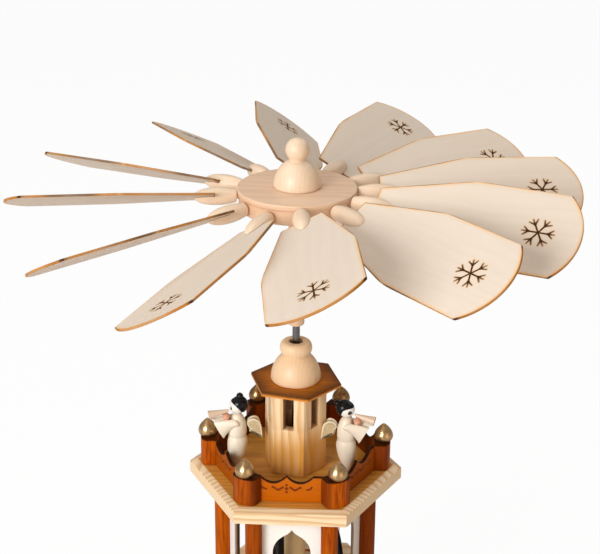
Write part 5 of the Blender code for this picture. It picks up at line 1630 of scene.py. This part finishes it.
def build_stage(context):
    """A wide flat floor, a plain sky, four soft lamps and the camera."""
    scene = context.scene
    s = scene.pyramid_stage
    floor = bpy.data.meshes.new("floor")
    across = np.linspace(-FLOOR_HALF, FLOOR_HALF, FLOOR_LINES)
    x, y = np.meshgrid(across, across)
    points = np.stack([x, y, 0 * x - FLOOR_DROP], axis=2).reshape(-1, 3)
    index = np.arange(x.size).reshape(x.shape)
    quads = np.stack([index[:-1, :-1], index[:-1, 1:], index[1:, 1:], index[1:, :-1]], axis=2)
    floor.from_pydata(points.tolist(), [], quads.reshape(-1, 4).tolist())
    f = Finish("plain_floor")
    seen = f.node("ShaderNodeLightPath")
    plain = f.node("ShaderNodeBsdfDiffuse", None, {"Color": f.blend(seen, s.floor, s.floor_seen)})
    white = f.node("ShaderNodeEmission", None, {"Color": four(WHITE), "Strength": 1.0})
    both = f.node("ShaderNodeMixShader", None, {0: seen * s.floor_white, 1: plain, 2: white})
    f.node("ShaderNodeOutputMaterial", None, {"Surface": both})
    floor.materials.append(f.made)
    made = bpy.data.objects.new("floor", floor)
    scene.collection.objects.link(made)

    world = bpy.data.worlds.new("pyramid_sky")
    sky = Finish(made=world)
    seen = sky.node("ShaderNodeLightPath")
    inputs = {"Color": sky.blend(seen, s.sky_tint, WHITE),
              "Strength": seen * (1 - s.sky) + s.sky}
    light = sky.node("ShaderNodeBackground", None, inputs)
    sky.node("ShaderNodeOutputWorld", None, {"Surface": light})
    scene.world = world

    for name, size, tint in (("key", 1.0, WHITE), ("fill", 1.2, s.fill_tint), ("top", 1.6, WHITE),
                             ("back", 1.2, WHITE)):
        lamp(f"{name}_lamp", getattr(s, name), size, tint, getattr(s, f"{name}_place"))

    lens = bpy.data.cameras.new("camera")
    lens.lens, lens.sensor_width, lens.sensor_fit = s.lens, 36.0, "HORIZONTAL"
    lens.shift_x, lens.shift_y = s.shift_x, s.shift_y
    camera = bpy.data.objects.new("camera", lens)
    scene.collection.objects.link(camera)
    camera.location = (s.eye[0], s.eye[1], Extent("balcony_plate").top + s.eye[2])
    camera.rotation_euler = [radians(angle) for angle in s.gaze]
    scene.camera = camera
    scene.view_settings.view_transform = "Standard"


# Operators, panel and start

class PYRAMID_OT_stage(bpy.types.Operator):
    """Set up the floor, the light and the camera"""
    bl_idname = "pyramid.stage"
    bl_label = "Stage"

    def execute(self, context):
        build_stage(context)
        return {"FINISHED"}


class PYRAMID_OT_blades(bpy.types.Operator):
    """Build the wheel's scorched blades with their snowflakes"""
    bl_idname = "pyramid.blades"
    bl_label = "Blades"

    def execute(self, context):
        build_blades(context.scene.pyramid_wheel)
        return {"FINISHED"}


class PYRAMID_OT_pegs(bpy.types.Operator):
    """Build the turned pegs that hold the blades"""
    bl_idname = "pyramid.pegs"
    bl_label = "Pegs"

    def execute(self, context):
        build_pegs(context.scene.pyramid_wheel)
        return {"FINISHED"}


class PYRAMID_OT_hub(bpy.types.Operator):
    """Build the hub's disc and neck"""
    bl_idname = "pyramid.hub"
    bl_label = "Hub"

    def execute(self, context):
        build_hub(context.scene.pyramid_wheel)
        return {"FINISHED"}


class PYRAMID_OT_knob(bpy.types.Operator):
    """Build the knob on the hub"""
    bl_idname = "pyramid.knob"
    bl_label = "Knob"

    def execute(self, context):
        build_knob(context.scene.pyramid_wheel)
        return {"FINISHED"}


class PYRAMID_OT_rod(bpy.types.Operator):
    """Build the steel rod"""
    bl_idname = "pyramid.rod"
    bl_label = "Rod"

    def execute(self, context):
        build_rod()
        return {"FINISHED"}


class PYRAMID_OT_dome(bpy.types.Operator):
    """Build the dome with its collar and bush"""
    bl_idname = "pyramid.dome"
    bl_label = "Dome"

    def execute(self, context):
        build_dome(context.scene.pyramid_balcony)
        return {"FINISHED"}


class PYRAMID_OT_roof(bpy.types.Operator):
    """Build the tower's roof"""
    bl_idname = "pyramid.roof"
    bl_label = "Roof"

    def execute(self, context):
        build_roof(context.scene.pyramid_balcony)
        return {"FINISHED"}


class PYRAMID_OT_tower(bpy.types.Operator):
    """Build the slotted tower"""
    bl_idname = "pyramid.tower"
    bl_label = "Tower"

    def execute(self, context):
        build_tower(context.scene.pyramid_balcony)
        return {"FINISHED"}


class PYRAMID_OT_balcony(bpy.types.Operator):
    """Build the balcony's floor"""
    bl_idname = "pyramid.balcony"
    bl_label = "Balcony floor"

    def execute(self, context):
        build_plate(context.scene.pyramid_balcony)
        return {"FINISHED"}


class PYRAMID_OT_fence(bpy.types.Operator):
    """Build the scalloped fence and its newels"""
    bl_idname = "pyramid.fence"
    bl_label = "Fence"

    def execute(self, context):
        build_fence(context.scene.pyramid_balcony)
        return {"FINISHED"}


class PYRAMID_OT_finials(bpy.types.Operator):
    """Build the gold finials"""
    bl_idname = "pyramid.finials"
    bl_label = "Finials"

    def execute(self, context):
        build_finials()
        return {"FINISHED"}


class PYRAMID_OT_angels(bpy.types.Operator):
    """Build the two angels with trumpets"""
    bl_idname = "pyramid.angels"
    bl_label = "Angels"

    def execute(self, context):
        for name, eye_size in (("left", (9.0, 14.0)), ("right", (17.0, 15.0))):
            build_angel(context.scene.pyramid_figures, name, eye_size)
        return {"FINISHED"}


class PYRAMID_OT_colonnade(bpy.types.Operator):
    """Build the columns, their rails and the arch panels"""
    bl_idname = "pyramid.colonnade"
    bl_label = "Colonnade"

    def execute(self, context):
        build_colonnade(context.scene.pyramid_stand)
        return {"FINISHED"}


class PYRAMID_OT_turntable(bpy.types.Operator):
    """Build the axle, the turntable and its figures"""
    bl_idname = "pyramid.turntable"
    bl_label = "Turntable"

    def execute(self, context):
        build_turntable(context.scene.pyramid_figures)
        return {"FINISHED"}


class PYRAMID_OT_base(bpy.types.Operator):
    """Build the base and the drum"""
    bl_idname = "pyramid.base"
    bl_label = "Base"

    def execute(self, context):
        build_base(context.scene.pyramid_stand)
        return {"FINISHED"}


class PYRAMID_OT_cups(bpy.types.Operator):
    """Build the candle cups"""
    bl_idname = "pyramid.cups"
    bl_label = "Candle cups"

    def execute(self, context):
        build_cups(context.scene.pyramid_stand)
        return {"FINISHED"}


GROUPS = (("pyramid_colours", PyramidColours), ("pyramid_wheel", PyramidWheel),
          ("pyramid_balcony", PyramidBalcony), ("pyramid_figures", PyramidFigures),
          ("pyramid_stand", PyramidStand), ("pyramid_stage", PyramidStage))
OPERATORS = (PYRAMID_OT_stage, PYRAMID_OT_blades, PYRAMID_OT_pegs, PYRAMID_OT_hub,
             PYRAMID_OT_knob, PYRAMID_OT_rod, PYRAMID_OT_dome, PYRAMID_OT_roof, PYRAMID_OT_tower,
             PYRAMID_OT_balcony, PYRAMID_OT_fence, PYRAMID_OT_finials, PYRAMID_OT_angels,
             PYRAMID_OT_colonnade, PYRAMID_OT_turntable, PYRAMID_OT_base, PYRAMID_OT_cups)


class VIEW3D_PT_pyramid(bpy.types.Panel):
    """Pieces and settings of the pyramid"""
    bl_label = "Christmas pyramid"
    bl_idname = "VIEW3D_PT_pyramid"
    bl_space_type = "VIEW_3D"
    bl_region_type = "UI"
    bl_category = "Pyramid"

    def draw(self, context):
        for operator in OPERATORS:
            self.layout.operator(operator.bl_idname)
        for name, group in GROUPS:
            box = self.layout.box()
            box.label(text=group.__doc__)
            for field in group.__annotations__:
                box.prop(getattr(context.scene, name), field)


def register():
    for name, group in GROUPS:
        bpy.utils.register_class(group)
        setattr(bpy.types.Scene, name, PointerProperty(type=group))
    for entry in (*OPERATORS, VIEW3D_PT_pyramid):
        bpy.utils.register_class(entry)


def unregister():
    for entry in reversed((*OPERATORS, VIEW3D_PT_pyramid)):
        bpy.utils.unregister_class(entry)
    for name, group in reversed(GROUPS):
        delattr(bpy.types.Scene, name)
        bpy.utils.unregister_class(group)


def main():
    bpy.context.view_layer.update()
    register()
    for operator in OPERATORS:
        group, action = operator.bl_idname.split(".")
        getattr(getattr(bpy.ops, group), action)()


if __name__ == "__main__":
    main()
